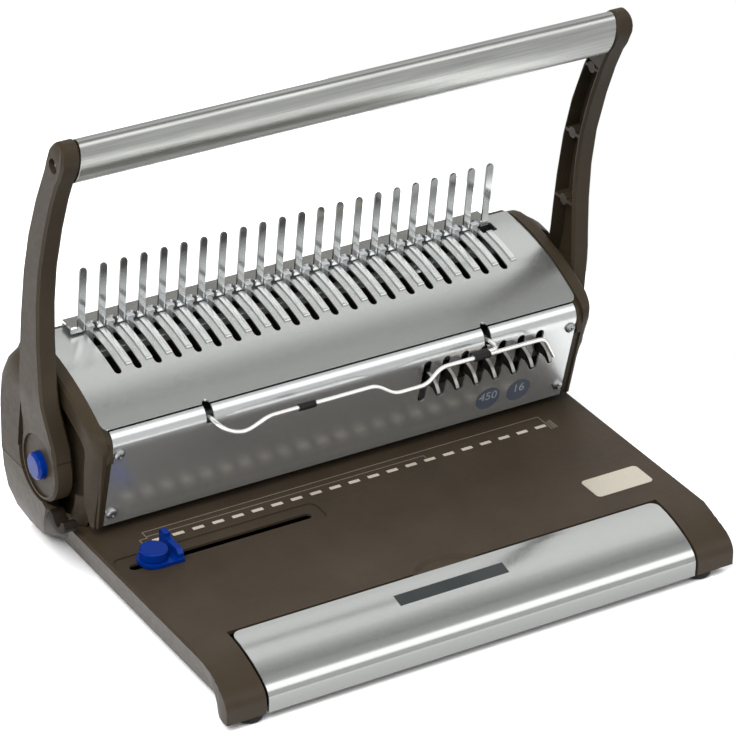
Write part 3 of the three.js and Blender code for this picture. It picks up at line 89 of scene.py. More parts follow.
class Finish:
    """A principled material whose colour, roughness and bump vary by the piece's own coordinates."""

    def __init__(self, name, roughness=0.5, metallic=0.0):
        self.material = bpy.data.materials.new(name)
        self.material.use_nodes = True
        self.tree = self.material.node_tree
        self.shader = self.tree.nodes["Principled BSDF"]
        self.shader.inputs["Roughness"].default_value = roughness
        self.shader.inputs["Metallic"].default_value = metallic
        self.shader.inputs["IOR"].default_value = SURFACE_IOR

    def add(self, kind, **values):
        node = self.tree.nodes.new(kind)
        for socket, value in values.items():
            node.inputs[socket].default_value = value
        return node

    def link(self, source, target):
        self.tree.links.new(source, target)

    def noise(self, scale, stretch=(1, 1, 1), detail=2.0):
        where = self.add("ShaderNodeTexCoord")
        sized = self.add("ShaderNodeMapping", Scale=stretch)
        noise = self.add("ShaderNodeTexNoise", Scale=scale, Detail=detail, Roughness=NOISE_ROUGHNESS)
        self.link(where.outputs["Object"], sized.inputs["Vector"])
        self.link(sized.outputs["Vector"], noise.inputs["Vector"])
        return noise.outputs["Fac"]

    def colours(self, source, first, second, span=NOISE_SPAN):
        ramp = self.add("ShaderNodeValToRGB")
        for stop, position, colour in zip(ramp.color_ramp.elements, span, (first, second)):
            stop.position = position
            stop.color = linear(colour)
        self.link(source, ramp.inputs["Fac"])
        self.link(ramp.outputs["Color"], self.shader.inputs["Base Color"])

    def rough(self, source, low, high):
        ends = dict(zip(("From Min", "From Max", "To Min", "To Max"), (*NOISE_SPAN, low, high)))
        ranged = self.add("ShaderNodeMapRange", **ends)
        self.link(source, ranged.inputs["Value"])
        self.link(ranged.outputs["Result"], self.shader.inputs["Roughness"])

    def bump(self, source, strength, depth):
        bump = self.add("ShaderNodeBump", Strength=strength, Distance=depth * MM)
        self.link(source, bump.inputs["Height"])
        self.link(bump.outputs["Normal"], self.shader.inputs["Normal"])


MOULD_MOTTLE = 26
MOULD_SHEEN = 240
MOULD_GRAIN_STRENGTH = 0.35


def moulded(name, first, second, low, high, grain=1500, depth=0.05, level=0.25):
    """Plastic or print between two colours and two roughnesses; grain and depth set its fine bumps."""
    finish = Finish(name)
    finish.shader.inputs["Specular IOR Level"].default_value = level
    finish.colours(finish.noise(MOULD_MOTTLE, detail=4), first, second)
    finish.rough(finish.noise(MOULD_SHEEN), low, high)
    finish.bump(finish.noise(grain, detail=3), MOULD_GRAIN_STRENGTH, depth)
    return finish.material


def metal(
    name, first, second, low, high, stretch=(1, 1, 1), scale=700, depth=0.01, strength=0.2, metallic=1.0,
):
    """Bare metal; a stretch below 1 along an axis draws its marks out into brush lines."""
    finish = Finish(name, metallic=metallic)
    finish.colours(finish.noise(scale, stretch, 3), first, second)
    finish.rough(finish.noise(scale / 3, stretch), low, high)
    finish.bump(finish.noise(scale, stretch, 3), strength, depth)
    return finish.material


FLAKES = 2600
FLAKE_SPAN = (0.35, 0.65)
LACQUER_SHEEN = 400
LACQUER_RIPPLE = 600
LACQUER_RIPPLE_STRENGTH = 0.01
LACQUER_RIPPLE_DEPTH = 0.004


def flaked(name, first, second, low, high, metallic=0.9):
    """Silver lacquer: fine bright flakes in a smooth coat."""
    finish = Finish(name, metallic=metallic)
    finish.colours(finish.noise(FLAKES, detail=2), first, second, FLAKE_SPAN)
    finish.rough(finish.noise(LACQUER_SHEEN, detail=3), low, high)
    finish.bump(finish.noise(LACQUER_RIPPLE, detail=1), LACQUER_RIPPLE_STRENGTH, LACQUER_RIPPLE_DEPTH)
    return finish.material


def paint_shade_by_height(material, shade_colour, start, end):
    """Paints shade into a material: another colour at the start height, which passes into its own at the end
    height.
    """
    tree = material.node_tree
    shader = tree.nodes["Principled BSDF"]
    own = shader.inputs["Base Color"].links[0].from_socket
    where = tree.nodes.new("ShaderNodeTexCoord")
    parts = tree.nodes.new("ShaderNodeSeparateXYZ")
    tree.links.new(where.outputs["Object"], parts.inputs[0])
    height = tree.nodes.new("ShaderNodeMapRange")
    height.interpolation_type = "SMOOTHSTEP"
    height.inputs["From Min"].default_value = start * MM
    height.inputs["From Max"].default_value = end * MM
    tree.links.new(parts.outputs["Z"], height.inputs["Value"])
    mix = tree.nodes.new("ShaderNodeMix")
    mix.data_type = "RGBA"
    mix.inputs[MIX_FIRST].default_value = linear(shade_colour)
    tree.links.new(height.outputs["Result"], mix.inputs[MIX_FACTOR])
    tree.links.new(own, mix.inputs[MIX_SECOND])
    tree.links.new(mix.outputs[MIX_RESULT], shader.inputs["Base Color"])


POLISHED = {"scale": 90, "strength": 0.03}
PRINTED = {"grain": 900, "depth": 0.01}
# Heights in millimetres over which the drawer's front face is painted darker, a painted shade
DRAWER_PAINTED_SHADE = (15, 20)
# Heights in millimetres over which the fingers are painted darker towards their tips, a painted dark
# reflection
FINGER_PAINTED_REFLECTION_HEIGHTS = (187, 166)

BROWN = moulded("brown_plastic", (45, 38, 30), (51, 43, 34), 0.38, 0.46, level=0.15)
CASING = moulded("brown_plastic_casing", (43, 36, 27), (49, 42, 32), 0.44, 0.52, level=0.15)
DARK_BROWN = moulded("brown_plastic_dark", (20, 16, 12), (26, 21, 16), 0.5, 0.6, level=0.1)
BLACK = moulded("black_plastic", (12, 11, 11), (18, 17, 16), 0.45, 0.56)
BLACK_METAL = metal("black_metal", (58, 55, 53), (70, 67, 64), 0.26, 0.36, scale=300, strength=0.1)
BLACK_SHEET = moulded("black_sheet", (20, 20, 20), (26, 26, 26), 0.5, 0.6, grain=900, depth=0.02)
RUBBER = moulded("foot_rubber", (16, 16, 16), (23, 22, 21), 0.7, 0.85, grain=900, depth=0.08)
BLUE = moulded("blue_plastic", (0, 30, 96), (0, 35, 106), 0.14, 0.2, grain=600, depth=0.006, level=0.14)

SILVER = flaked("silver_paint", (178, 180, 178), (192, 194, 192), 0.22, 0.27)
PANEL_SILVER = flaked("silver_paint_panel", (186, 188, 188), (198, 200, 200), 0.22, 0.27, metallic=0.8)
# Painted shade: the drawer's silver is painted darker on its front face, below the bend
DRAWER_SILVER_PAINTED_SHADE = flaked("silver_paint_drawer_painted_shade", (174, 176, 174), (186, 188, 186), 0.15, 0.2)
paint_shade_by_height(DRAWER_SILVER_PAINTED_SHADE, (134, 136, 134), *DRAWER_PAINTED_SHADE)
# A lighter copy of the silver paint for the cover's ribs, a painted highlight
RIB_SILVER_PAINTED_HIGHLIGHT = flaked("silver_paint_ribs_painted_highlight", (200, 202, 200), (214, 216, 214), 0.2, 0.26)
BADGE = flaked("badge_foil", (214, 206, 190), (230, 223, 208), 0.3, 0.4)

CHROME = metal("bright_chrome", (202, 204, 205), (212, 214, 215), 0.07, 0.12, metallic=0.8, **POLISHED)
# Darker chrome for the comb's level faces, a painted dark reflection
COMB_PLATE_PAINTED_REFLECTION = metal("chrome_plate_painted_reflection", (138, 138, 133), (150, 150, 145), 0.16, 0.22, metallic=0.9, **POLISHED)
WIRE = metal("chrome_wire", (222, 222, 220), (234, 234, 232), 0.12, 0.18, metallic=0.85, **POLISHED)
# Lighter chrome for the claws' faces that turn up and forward, a painted highlight
CLAW_PAINTED_HIGHLIGHT = metal("chrome_claw_painted_highlight", (122, 122, 118), (136, 136, 132), 0.25, 0.3, metallic=0.4, **POLISHED)
# Darker chrome for the finger faces that turn left or up, a painted dark reflection
FINGER_FACES_PAINTED_REFLECTION = metal("chrome_finger_faces_painted_reflection", (88, 88, 86), (100, 100, 98), 0.16, 0.22, metallic=0.9, **POLISHED)
# Bright chrome for the fingers, painted darker towards their tips as a painted dark reflection
FINGER_CHROME_PAINTED_REFLECTION = metal("bright_chrome_finger_painted_reflection", (222, 224, 225), (232, 234, 235), 0.07, 0.12, metallic=0.8, **POLISHED)
paint_shade_by_height(FINGER_CHROME_PAINTED_REFLECTION, (116, 118, 118), *FINGER_PAINTED_REFLECTION_HEIGHTS)
STEEL = metal("plain_steel", (150, 151, 153), (172, 173, 175), 0.28, 0.42, scale=500)
BRUSHED = metal(
    "brushed_aluminium", (158, 159, 156), (182, 183, 180), 0.26, 0.36, (0.02, 1, 1), scale=900, strength=0.15,
)

PRINT = moulded("cream_print", (150, 142, 130), (164, 156, 144), 0.5, 0.6, **PRINTED)
FINE_PRINT = moulded("cream_print_fine", (104, 96, 84), (118, 109, 97), 0.5, 0.6, **PRINTED)
DISC = moulded("grey_print", (74, 80, 92), (82, 88, 100), 0.4, 0.5, **PRINTED)
DISC_NUMBER = moulded("pale_print", (146, 150, 160), (158, 162, 172), 0.4, 0.5, **PRINTED)
STRIP = moulded("strip_print", (36, 39, 39), (45, 48, 48), 0.4, 0.5, level=0.15, **PRINTED)

MATERIALS = {
    "brown_plastic": BROWN,
    "black_plastic": BLACK,
    "black_metal": BLACK_METAL,
    "black_sheet": BLACK_SHEET,
    "foot_rubber": RUBBER,
    "silver_paint": SILVER,
    "bright_chrome": CHROME,
    "plain_steel": STEEL,
    "brushed_aluminium": BRUSHED,
    "blue_plastic": BLUE,
}
SLOTS = {part["node"]: part["material_slot"] for part in frame["record"]["subparts"]}
BODIES = frame["record"]["behaviour"]["bodies"]
BODY_OF = {name: body for body, members in BODIES.items() for name in members}


# Making pieces
WELD = 0.002
FLAT_ANGLE = 0.4
ROUND_FROM_ANGLE = 28


def added(name, data):
    """A new object in the scene."""
    obj = bpy.data.objects.new(name, data)
    scene.collection.objects.link(obj)
    return obj


def dress(obj, *materials):
    obj.data.materials.clear()
    for material in materials:
        obj.data.materials.append(material)


def piece(name, mesh, body, material):
    obj = added(name, mesh)
    dress(obj, material)
    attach(obj, body)
    return obj


def mesh_of(build, name):
    mesh = bpy.data.meshes.new(name)
    bm = bmesh.new()
    build(bm)
    bmesh.ops.recalc_face_normals(bm, faces=bm.faces)
    bm.to_mesh(mesh)
    bm.free()
    return mesh


def bake(obj):
    """Applies an object's modifiers."""
    bpy.context.view_layer.update()
    graph = bpy.context.evaluated_depsgraph_get()
    shown = obj.evaluated_get(graph)
    mesh = bpy.data.meshes.new_from_object(shown, preserve_all_data_layers=True, depsgraph=graph)
    obj.modifiers.clear()
    obj.data = mesh


def subtract(obj, tool):
    """Adds a cut by another object's shape."""
    cut = obj.modifiers.new("cut", "BOOLEAN")
    cut.operation = "DIFFERENCE"
    cut.solver = "EXACT"
    cut.object = tool


def shade(mesh, sharp):
    """Smooths the faces, but leaves the edges above an angle sharp."""
    for polygon in mesh.polygons:
        polygon.use_smooth = True
    mesh.set_sharp_from_angle(angle=math.radians(sharp))


def softened(node, edge, cutters=()):
    """A copy of a solid with its sharp edges rounded and its curved faces smooth."""
    radius, sharp, steps = edge
    mesh = nodes[node].data.copy()
    bm = bmesh.new()
    bm.from_mesh(mesh)
    bmesh.ops.remove_doubles(bm, verts=bm.verts, dist=WELD * MM)
    bmesh.ops.dissolve_limit(bm, angle_limit=math.radians(FLAT_ANGLE), verts=bm.verts, edges=bm.edges)
    bm.to_mesh(mesh)
    bm.free()
    finished = added(node + "_finished", mesh)
    for tool in cutters:
        subtract(finished, tool)
    if radius:
        bevel = finished.modifiers.new("round", "BEVEL")
        bevel.width = radius * MM
        bevel.segments = steps
        bevel.limit_method = "ANGLE"
        bevel.angle_limit = math.radians(ROUND_FROM_ANGLE)
        bevel.miter_outer = "MITER_ARC"
        bevel.use_clamp_overlap = True
        bevel.loop_slide = False
    bake(finished)
    for tool in cutters:
        bpy.data.objects.remove(tool)
    shade(finished.data, sharp)
    weigh = finished.modifiers.new("faces", "WEIGHTED_NORMAL")
    weigh.keep_sharp = True
    weigh.mode = "FACE_AREA_WITH_ANGLE"
    bake(finished)
    dress(finished, MATERIALS[SLOTS[node]])
    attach(finished, BODY_OF[node])
    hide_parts(node)
    return finished


def prism(bm, outline, low, high, lift):
    """A closed solid between two levels of one outline; lift() places each corner."""
    bottom = [bm.verts.new(lift(x, y, low)) for x, y in outline]
    top = [bm.verts.new(lift(x, y, high)) for x, y in outline]
    count = len(outline)
    bm.faces.new(top)
    bm.faces.new(list(reversed(bottom)))
    for i in range(count):
        j = (i + 1) % count
        bm.faces.new((bottom[i], bottom[j], top[j], top[i]))


def block(name, outline, low, high, lift=place):
    """A prism as an object, for a cut or for the floor."""
    return added(name, mesh_of(lambda bm: prism(bm, outline, low, high, lift), name))


def rounded(left, right, front, back, radius, steps):
    """A rectangle's outline with rounded corners, anticlockwise."""
    corners = (
        (right - radius, back - radius, 0), (left + radius, back - radius, 90),
        (left + radius, front + radius, 180), (right - radius, front + radius, 270),
    )
    outline = []
    for x, y, start in corners:
        for i in range(steps + 1):
            turn = math.radians(start + 90 * i / steps)
            outline.append((x + radius * math.cos(turn), y + radius * math.sin(turn)))
    return outline


def circle(x, y, radius, count):
    turns = [2 * math.pi * i / count for i in range(count)]
    return [(x + radius * math.cos(turn), y + radius * math.sin(turn)) for turn in turns]


def on_base(x, y, z):
    return place(x, y, BASE_TOP + z)


def on_panel(x, up, out):
    """A point on the leaning panel: up runs along the sheet from its lower edge, out towards the front."""
    y0, z0 = PANEL_BOTTOM
    y1, z1 = PANEL_BEND
    length = math.hypot(y1 - y0, z1 - z0)
    uy, uz = (y1 - y0) / length, (z1 - z0) / length
    return place(x, y0 + uy * up - uz * out, z0 + uz * up + uy * out)


def panel_y(z):
    """The depth of the panel's face at a height."""
    y0, z0 = PANEL_BOTTOM
    y1, z1 = PANEL_BEND
    return y0 + (y1 - y0) * (z - z0) / (z1 - z0)


PANEL_RISE = on_panel(0, 1, 0) - on_panel(0, 0, 0)
PANEL_OUT = on_panel(0, 0, 1) - on_panel(0, 0, 0)


# Rounded edges: radius, the angle above which an edge stays sharp in the shading, steps of the rounding
TRAY_EDGE = (0.5, 30, 2)
CASING_EDGE = (0.7, 30, 3)
FOOT_EDGE = (0.6, 40, 2)
SLEEVE_EDGE = (0.2, 50, 2)
CAP_EDGE = (0.4, 40, 2)
DRAWER_EDGE = (0.4, 30, 2)
SHEET_EDGE = (0.3, 30, 2)
COMB_EDGE = (0.3, 40, 2)
CLAW_EDGE = (0.35, 35, 2)
BUTTON_EDGE = (0.5, 35, 3)
HOOK_EDGE = (0.2, 40, 2)
WIRE_EDGE = (0, 60, 1)
# Steps of a rounded corner in an outline
FINE_CORNER = 8
SMALL_CORNER = 3
CUTTER_RISE = 3.0

# Base tray, with the finger recess at the drawer and the shallow step round the side guide
FINGER_RECESS = (-2.5, -131.6)
FINGER_RECESS_RADIUS = 29.9
FINGER_RECESS_DEPTH = 2.2
FINGER_RECESS_SLOPE = 0.035
FINGER_RECESS_COUNT = 72
GUIDE_STEP = (-181.2, -35.6, -30.0, -8.2, 6.0)
GUIDE_STEP_DEPTH = 0.9


def slanted(x, y, z):
    """Widens with height round the recess's middle, so that its wall slopes."""
    x0, y0 = FINGER_RECESS
    spread = 1 + (z - BASE_TOP) * FINGER_RECESS_SLOPE
    return place(x0 + (x - x0) * spread, y0 + (y - y0) * spread, z)


def tray_cutter(name, outline, depth, lift=place):
    return block(name, outline, BASE_TOP - depth, BASE_TOP + CUTTER_RISE, lift)


recess_outline = circle(*FINGER_RECESS, FINGER_RECESS_RADIUS, FINGER_RECESS_COUNT)
recess = tray_cutter("recess", recess_outline, FINGER_RECESS_DEPTH, slanted)
step = tray_cutter("step", rounded(*GUIDE_STEP, FINE_CORNER), GUIDE_STEP_DEPTH)
softened("base_tray", TRAY_EDGE, (recess, step))

# Casings, handle arms, feet and sleeves
for side in ("left", "right"):
    dress(softened("casing_" + side, CASING_EDGE), CASING)
    dress(softened("handle_arm_" + side, CASING_EDGE), CASING)
    softened("foot_front_" + side, FOOT_EDGE)
    softened("foot_rear_" + side, FOOT_EDGE)
    softened("bail_sleeve_" + side, SLEEVE_EDGE)
softened("hub_cap", CAP_EDGE)
softened("rear_cover", TRAY_EDGE)

# Silver sheets; the cover has a hole beside the last finger
COVER_HOLE = (145.9, 157.2, 81.2, 91.6, 1.2)
COVER_HOLE_LEVELS = (130, 160)

drawer_front = softened("drawer_cover", DRAWER_EDGE)
dress(drawer_front, DRAWER_SILVER_PAINTED_SHADE)
dress(softened("front_panel", SHEET_EDGE), PANEL_SILVER)
cover_hole = block("cover_hole", rounded(*COVER_HOLE, SMALL_CORNER), *COVER_HOLE_LEVELS)
softened("top_cover", SHEET_EDGE, (cover_hole,))

# Comb plate: its right end and a notch are cut; its level faces and the finger faces that turn left or up get
# darker chrome, a painted dark reflection
COMB_END = (152.9, 175.0, 75.0, 125.0, 2.0)
COMB_END_LEVELS = (140, 200)
COMB_NOTCH = (145.6, 160.0, 70.0, 85.5, 0.5)
COMB_NOTCH_LEVELS = (140, 152)
FINGER_FOOT = 149.0
LEVEL_FACE_PAINTED_REFLECTION = 0.9
FACE_TURN_PAINTED_REFLECTION = 0.5

comb_end = block("comb_end", rounded(*COMB_END, SMALL_CORNER), *COMB_END_LEVELS)
comb_notch = block("comb_notch", rounded(*COMB_NOTCH, SMALL_CORNER), *COMB_NOTCH_LEVELS)
comb = softened("comb_plate", COMB_EDGE, (comb_end, comb_notch))
comb_materials = (FINGER_CHROME_PAINTED_REFLECTION, COMB_PLATE_PAINTED_REFLECTION, FINGER_FACES_PAINTED_REFLECTION)
dress(comb, *comb_materials)
for polygon in comb.data.polygons:
    if polygon.center.z < FINGER_FOOT * MM:
        shown = COMB_PLATE_PAINTED_REFLECTION if polygon.normal.z > LEVEL_FACE_PAINTED_REFLECTION else FINGER_CHROME_PAINTED_REFLECTION
    elif polygon.normal.x < -FACE_TURN_PAINTED_REFLECTION or polygon.normal.z > FACE_TURN_PAINTED_REFLECTION:
        shown = FINGER_FACES_PAINTED_REFLECTION
    else:
        shown = FINGER_CHROME_PAINTED_REFLECTION
    polygon.material_index = comb_materials.index(shown)

# Sheet holder: the faces of its claws in front of the panel that turn up and forward get lighter chrome, a
# painted highlight
CLAW_CLEAR = 0.4
CLAW_SIDE_FACE = 0.5
CLAW_HIGHLIGHT_FACING = 0.2

claws = softened("sheet_holder", CLAW_EDGE)
claws.data.materials.append(CLAW_PAINTED_HIGHLIGHT)
for polygon in claws.data.polygons:
    z = polygon.center.z / MM
    in_front = polygon.center.y < place(0, panel_y(z) - CLAW_CLEAR, z).y
    outward = polygon.normal.z - polygon.normal.y > CLAW_HIGHLIGHT_FACING
    if in_front and outward and abs(polygon.normal.x) < CLAW_SIDE_FACE:
        polygon.material_index = 1

# Grip tube, side guide, hub button, wires and hooks
GUIDE_TRIM = (0.88, 0.88, 0.82)

softened("grip_tube", COMB_EDGE)
knob_low, knob_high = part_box("guide_knob")
guide_pin = Vector((*knob_low.lerp(knob_high, 0.5).xy, BASE_TOP * MM))
trim = Matrix.Translation(guide_pin) @ Matrix.Diagonal((*GUIDE_TRIM, 1)) @ Matrix.Translation(-guide_pin)
for part in ("guide_slider", "guide_knob"):
    softened(part, BUTTON_EDGE).data.transform(trim)
softened("hub_button", BUTTON_EDGE)
dress(softened("bail_wire", WIRE_EDGE), WIRE)
dress(softened("bail_arm", WIRE_EDGE), WIRE)
softened("opener_comb", HOOK_EDGE)

# The solids that no copy replaces
for name, obj in nodes.items():
    if not obj.hide_render:
        dress(obj, MATERIALS[SLOTS[name]])


# Printed marks
PRINT_THICK = 0.05


def decal(name, outlines, lift, body, material, thick=PRINT_THICK):
    def build(bm):
        for outline in outlines:
            prism(bm, outline, -thick, thick, lift)
    piece(name, mesh_of(build, name), body, material)


def bar(x0, y0, x1, y1, width):
    """The outline of a straight printed line from one point to another."""
    along = Vector((x1 - x0, y1 - y0)).normalized() * width / 2
    side = Vector((-along.y, along.x))
    return [
        (x0 - side.x, y0 - side.y), (x1 - side.x, y1 - side.y),
        (x1 + side.x, y1 + side.y), (x0 + side.x, y0 + side.y),
    ]


# Hole marks, fine lines and hatching on the base
MARK_HALF_WIDTH = 4.0
MARK_HALF_DEPTH = 1.5
MARK_CORNER = 0.3
LINE_WIDTH = 0.45
# Each line runs from its first X and Y to its second
EDGE_LINES = (
    (-148.0, 11.6, 148.3, 11.6), (148.3, 11.8, 148.3, -6.0), (-148.3, 4.6, -148.3, 11.8),
    (-154.0, 4.4, -148.3, 4.4), (-148.3, 6.0, 55.9, 6.0), (55.9, 6.2, 55.9, 2.2),
    (-154.0, 4.4, -154.0, -1.0),
)
HATCH_WIDTH = 0.4
HATCH_LEFT = 149.3
HATCH_RIGHT = 153.0
HATCH_BACK = 4.6
HATCH_SLANT = 1.6
HATCH_ROWS = (-5.6, -4.2, -2.8, -1.4, 0.0, 1.4, 2.8)

marks = []
for tooth in range(TEETH):
    middle = (tooth - TEETH // 2) * TOOTH_PITCH
    marks.append(rounded(
        middle - MARK_HALF_WIDTH, middle + MARK_HALF_WIDTH, -MARK_HALF_DEPTH, MARK_HALF_DEPTH, MARK_CORNER,
        SMALL_CORNER,
    ))
decal("hole_marks", marks, on_base, "base", PRINT)
edge_lines = [bar(*ends, LINE_WIDTH) for ends in EDGE_LINES]
decal("edge_lines", edge_lines, on_base, "base", FINE_PRINT)
hatch = [bar(HATCH_LEFT, y, HATCH_RIGHT, y + HATCH_SLANT, HATCH_WIDTH) for y in HATCH_ROWS]
hatch.append(bar(HATCH_RIGHT, HATCH_ROWS[0], HATCH_RIGHT, HATCH_BACK, HATCH_WIDTH))
decal("hatch", hatch, on_base, "base", FINE_PRINT)

# Blank badge
BADGE_BOX = (126.5, 169.5, -93.5, -71.5, 3.2)
BADGE_THICK = 0.25

badge = rounded(*BADGE_BOX, FINE_CORNER)
decal("badge", [badge], on_base, "base", BADGE, BADGE_THICK)

# Blank strip on the drawer, in slices that follow its curved front
STRIP_LEFT = -47.5
STRIP_RIGHT = 31.5
STRIP_FRONT = -135.6
STRIP_BACK = -126.5
STRIP_SLICES = 8
STRIP_THICK = 0.12
ABOVE_DRAWER = 20.0


def on_drawer(x, y, z):
    """A point at a height above the curved front of the drawer."""
    start = place(x, y, BASE_TOP + ABOVE_DRAWER)
    turned = drawer_front.matrix_world
    where = drawer_front.ray_cast(turned.inverted() @ start, Vector((0, 0, -1)))[1]
    return turned @ where + Vector((0, 0, z * MM))


edges = [STRIP_FRONT + (STRIP_BACK - STRIP_FRONT) * i / STRIP_SLICES for i in range(STRIP_SLICES + 1)]
slices = [
    [(STRIP_LEFT, y0), (STRIP_RIGHT, y0), (STRIP_RIGHT, y1), (STRIP_LEFT, y1)]
    for y0, y1 in zip(edges, edges[1:])
]
decal("drawer_strip", slices, on_drawer, "drawer", STRIP, STRIP_THICK)

# Discs with plain numbers on the panel
DISC_RADIUS = 9.1
DISC_UP = 15.8
DISC_COUNT = 64
DISCS = (("450", 111.2), ("16", 135.0))
NUMBER_SIZE = 9.4
NUMBER_UP = DISC_UP + 1.6
NUMBER_OUT = 0.07
NUMBER_THICK = 0.03


def numbered(name, number, x):
    """A raised number on the panel, centred above a width."""
    curve = bpy.data.curves.new(name, "FONT")
    curve.body = number
    curve.size = NUMBER_SIZE * MM
    curve.extrude = NUMBER_THICK * MM
    curve.align_x = "CENTER"
    curve.align_y = "CENTER"
    text = added(name, curve)
    graph = bpy.context.evaluated_depsgraph_get()
    mesh = bpy.data.meshes.new_from_object(text.evaluated_get(graph))
    bpy.data.objects.remove(text)
    turn = Matrix((Vector((1, 0, 0)), PANEL_RISE.normalized(), PANEL_OUT.normalized())).transposed().to_4x4()
    mesh.transform(Matrix.Translation(on_panel(x, NUMBER_UP, NUMBER_OUT)) @ turn)
    piece(name, mesh, "base", DISC_NUMBER)


for number, x in DISCS:
    disc = circle(x, DISC_UP, DISC_RADIUS, DISC_COUNT)
    decal("disc_" + number, [disc], on_panel, "base", DISC)
for number, x in DISCS:
    numbered("number_" + number, number, x)


# Screws
DOME_STEPS = 9
DOME_COUNT = 40
DOME_RIM_SHARE = 0.25
DOME_SUNK_SHARE = 0.3
CROSS_ARM_SHARE = 0.56
CROSS_WIDTH_SHARE = 0.15
# The spread of the cross and its level in the head, at its bottom and at its top
CROSS_END_SHARES = ((0.55, 0.3), (1.1, 1.2))
CROSS_TURN = 20
SCREW_SHARP = 35
PANEL_SCREW_X = 166.6
PANEL_SCREW_LEVELS = (("upper", 101.7), ("lower", 53.0))
PANEL_HEAD_RADIUS = 3.7
PANEL_HEAD_HEIGHT = 2.6
ARM_HEAD_RADIUS = 3.9
ARM_HEAD_HEIGHT = 2.2
ARM_HEAD_SUNK = 2.2


def dome(bm, radius, height):
    """A domed head whose back lies a little below the surface that it stands on."""
    rings = []
    for i in range(DOME_STEPS):
        turn = math.pi / 2 * i / (DOME_STEPS - 1)
        z = height * DOME_RIM_SHARE + height * (1 - DOME_RIM_SHARE) * math.sin(turn)
        last = i == DOME_STEPS - 1
        outline = [(0, 0)] if last else circle(0, 0, radius * math.cos(turn), DOME_COUNT)
        rings.append([bm.verts.new((x, y, z)) for x, y in outline])
    foot = [bm.verts.new((v.co.x, v.co.y, -height * DOME_SUNK_SHARE)) for v in rings[0]]
    bm.faces.new(list(reversed(foot)))
    for lower, upper in zip([foot] + rings[:-1], rings):
        for k in range(DOME_COUNT):
            after = (k + 1) % DOME_COUNT
            top = (upper[0],) if len(upper) == 1 else (upper[after], upper[k])
            bm.faces.new((lower[k], lower[after], *top))
    bmesh.ops.scale(bm, vec=(MM, MM, MM), verts=bm.verts)


def cross_screw(name, centre, outward, radius, height, node):
    """A domed head with a cross recess, its back on the surface at centre."""
    def tapered(x, y, end):
        spread, level = CROSS_END_SHARES[end]
        return (x * spread * MM, y * spread * MM, height * level * MM)

    obj = added(name, mesh_of(lambda bm: dome(bm, radius, height), name))
    arm, wide = radius * CROSS_ARM_SHARE, radius * CROSS_WIDTH_SHARE
    cross = [
        (arm, -wide), (arm, wide), (wide, wide), (wide, arm), (-wide, arm), (-wide, wide),
        (-arm, wide), (-arm, -wide), (-wide, -wide), (-wide, -arm), (wide, -arm), (wide, -wide),
    ]
    tool = block("cross", cross, 0, 1, tapered)
    subtract(obj, tool)
    bake(obj)
    bpy.data.objects.remove(tool)
    turn = Vector((0, 0, 1)).rotation_difference(Vector(outward)).to_matrix().to_4x4()
    obj.data.transform(Matrix.Translation(centre) @ turn @ Matrix.Rotation(math.radians(CROSS_TURN), 4, "Z"))
    shade(obj.data, SCREW_SHARP)
    dress(obj, STEEL)
    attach(obj, BODY_OF[node])
    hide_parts(node)


for side, sign in (("left", -1), ("right", 1)):
    for level, z in PANEL_SCREW_LEVELS:
        where = place(sign * PANEL_SCREW_X, panel_y(z), z)
        screw = "screw_" + level + "_" + side
        cross_screw(screw, where, PANEL_OUT, PANEL_HEAD_RADIUS, PANEL_HEAD_HEIGHT, "panel_" + screw)
    low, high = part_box("arm_screw_" + side)
    face = high.x if sign > 0 else low.x
    where = Vector((face - sign * ARM_HEAD_SUNK * MM, (low.y + high.y) / 2, (low.z + high.z) / 2))
    screw = "arm_head_screw_" + side
    cross_screw(screw, where, (sign, 0, 0), ARM_HEAD_RADIUS, ARM_HEAD_HEIGHT, "arm_screw_" + side)


# Trim: pieces drawn from the side, as depths and heights, between two widths
TRIM_ROUND_STEPS = 3
TRIM_ROUND_FROM_ANGLE = 35
TRIM_SHARP = 30
# Depth and height of the highest line of the cover, and the radius there
COVER_CREST = (102.0, 143.3, 172.0)


def cover_height(y):
    crest_y, crest_z, radius = COVER_CREST
    return crest_z - radius + math.sqrt(radius ** 2 - (y - crest_y) ** 2)


def sideways(y, z, x):
    return place(x, y, z)


def side_prism(name, outline, x0, x1, slot, material, edge):
    mesh = mesh_of(lambda bm: prism(bm, outline, x0, x1, sideways), name)
    obj = piece(name, mesh, "base", material)
    bevel = obj.modifiers.new("round", "BEVEL")
    bevel.width = edge * MM
    bevel.segments = TRIM_ROUND_STEPS
    bevel.limit_method = "ANGLE"
    bevel.angle_limit = math.radians(TRIM_ROUND_FROM_ANGLE)
    bake(obj)
    shade(obj.data, TRIM_SHARP)


# Raised ribs between the slots of the cover, in a lighter silver that is a painted highlight; the last one is
# shorter
RIB_WIDTH = 4.7
RIB_FRONT = 49.7
RIB_BACK = 86.2
LAST_RIB_BACK = 80.6
RIB_RISE = 1.32
RIB_SUNK = 0.2
RIB_STEPS = 12
RIB_EDGE = 0.75

for tooth in range(1, TEETH + 1):
    end = LAST_RIB_BACK if tooth == TEETH else RIB_BACK
    along = [RIB_FRONT + (end - RIB_FRONT) * i / RIB_STEPS for i in range(RIB_STEPS + 1)]
    outline = [(y, cover_height(y) - RIB_SUNK) for y in along]
    outline += [(y, cover_height(y) + RIB_RISE) for y in reversed(along)]
    left = (tooth - TEETH / 2) * TOOTH_PITCH - RIB_WIDTH / 2
    right = (tooth - TEETH / 2) * TOOTH_PITCH + RIB_WIDTH / 2
    side_prism("cover_rib_%d" % tooth, outline, left, right, "silver_paint", RIB_SILVER_PAINTED_HIGHLIGHT, RIB_EDGE)


# Fill between the casing's front corner, the panel's bend and the cover
def under_cover(y, gap):
    return (y, cover_height(y) - gap)


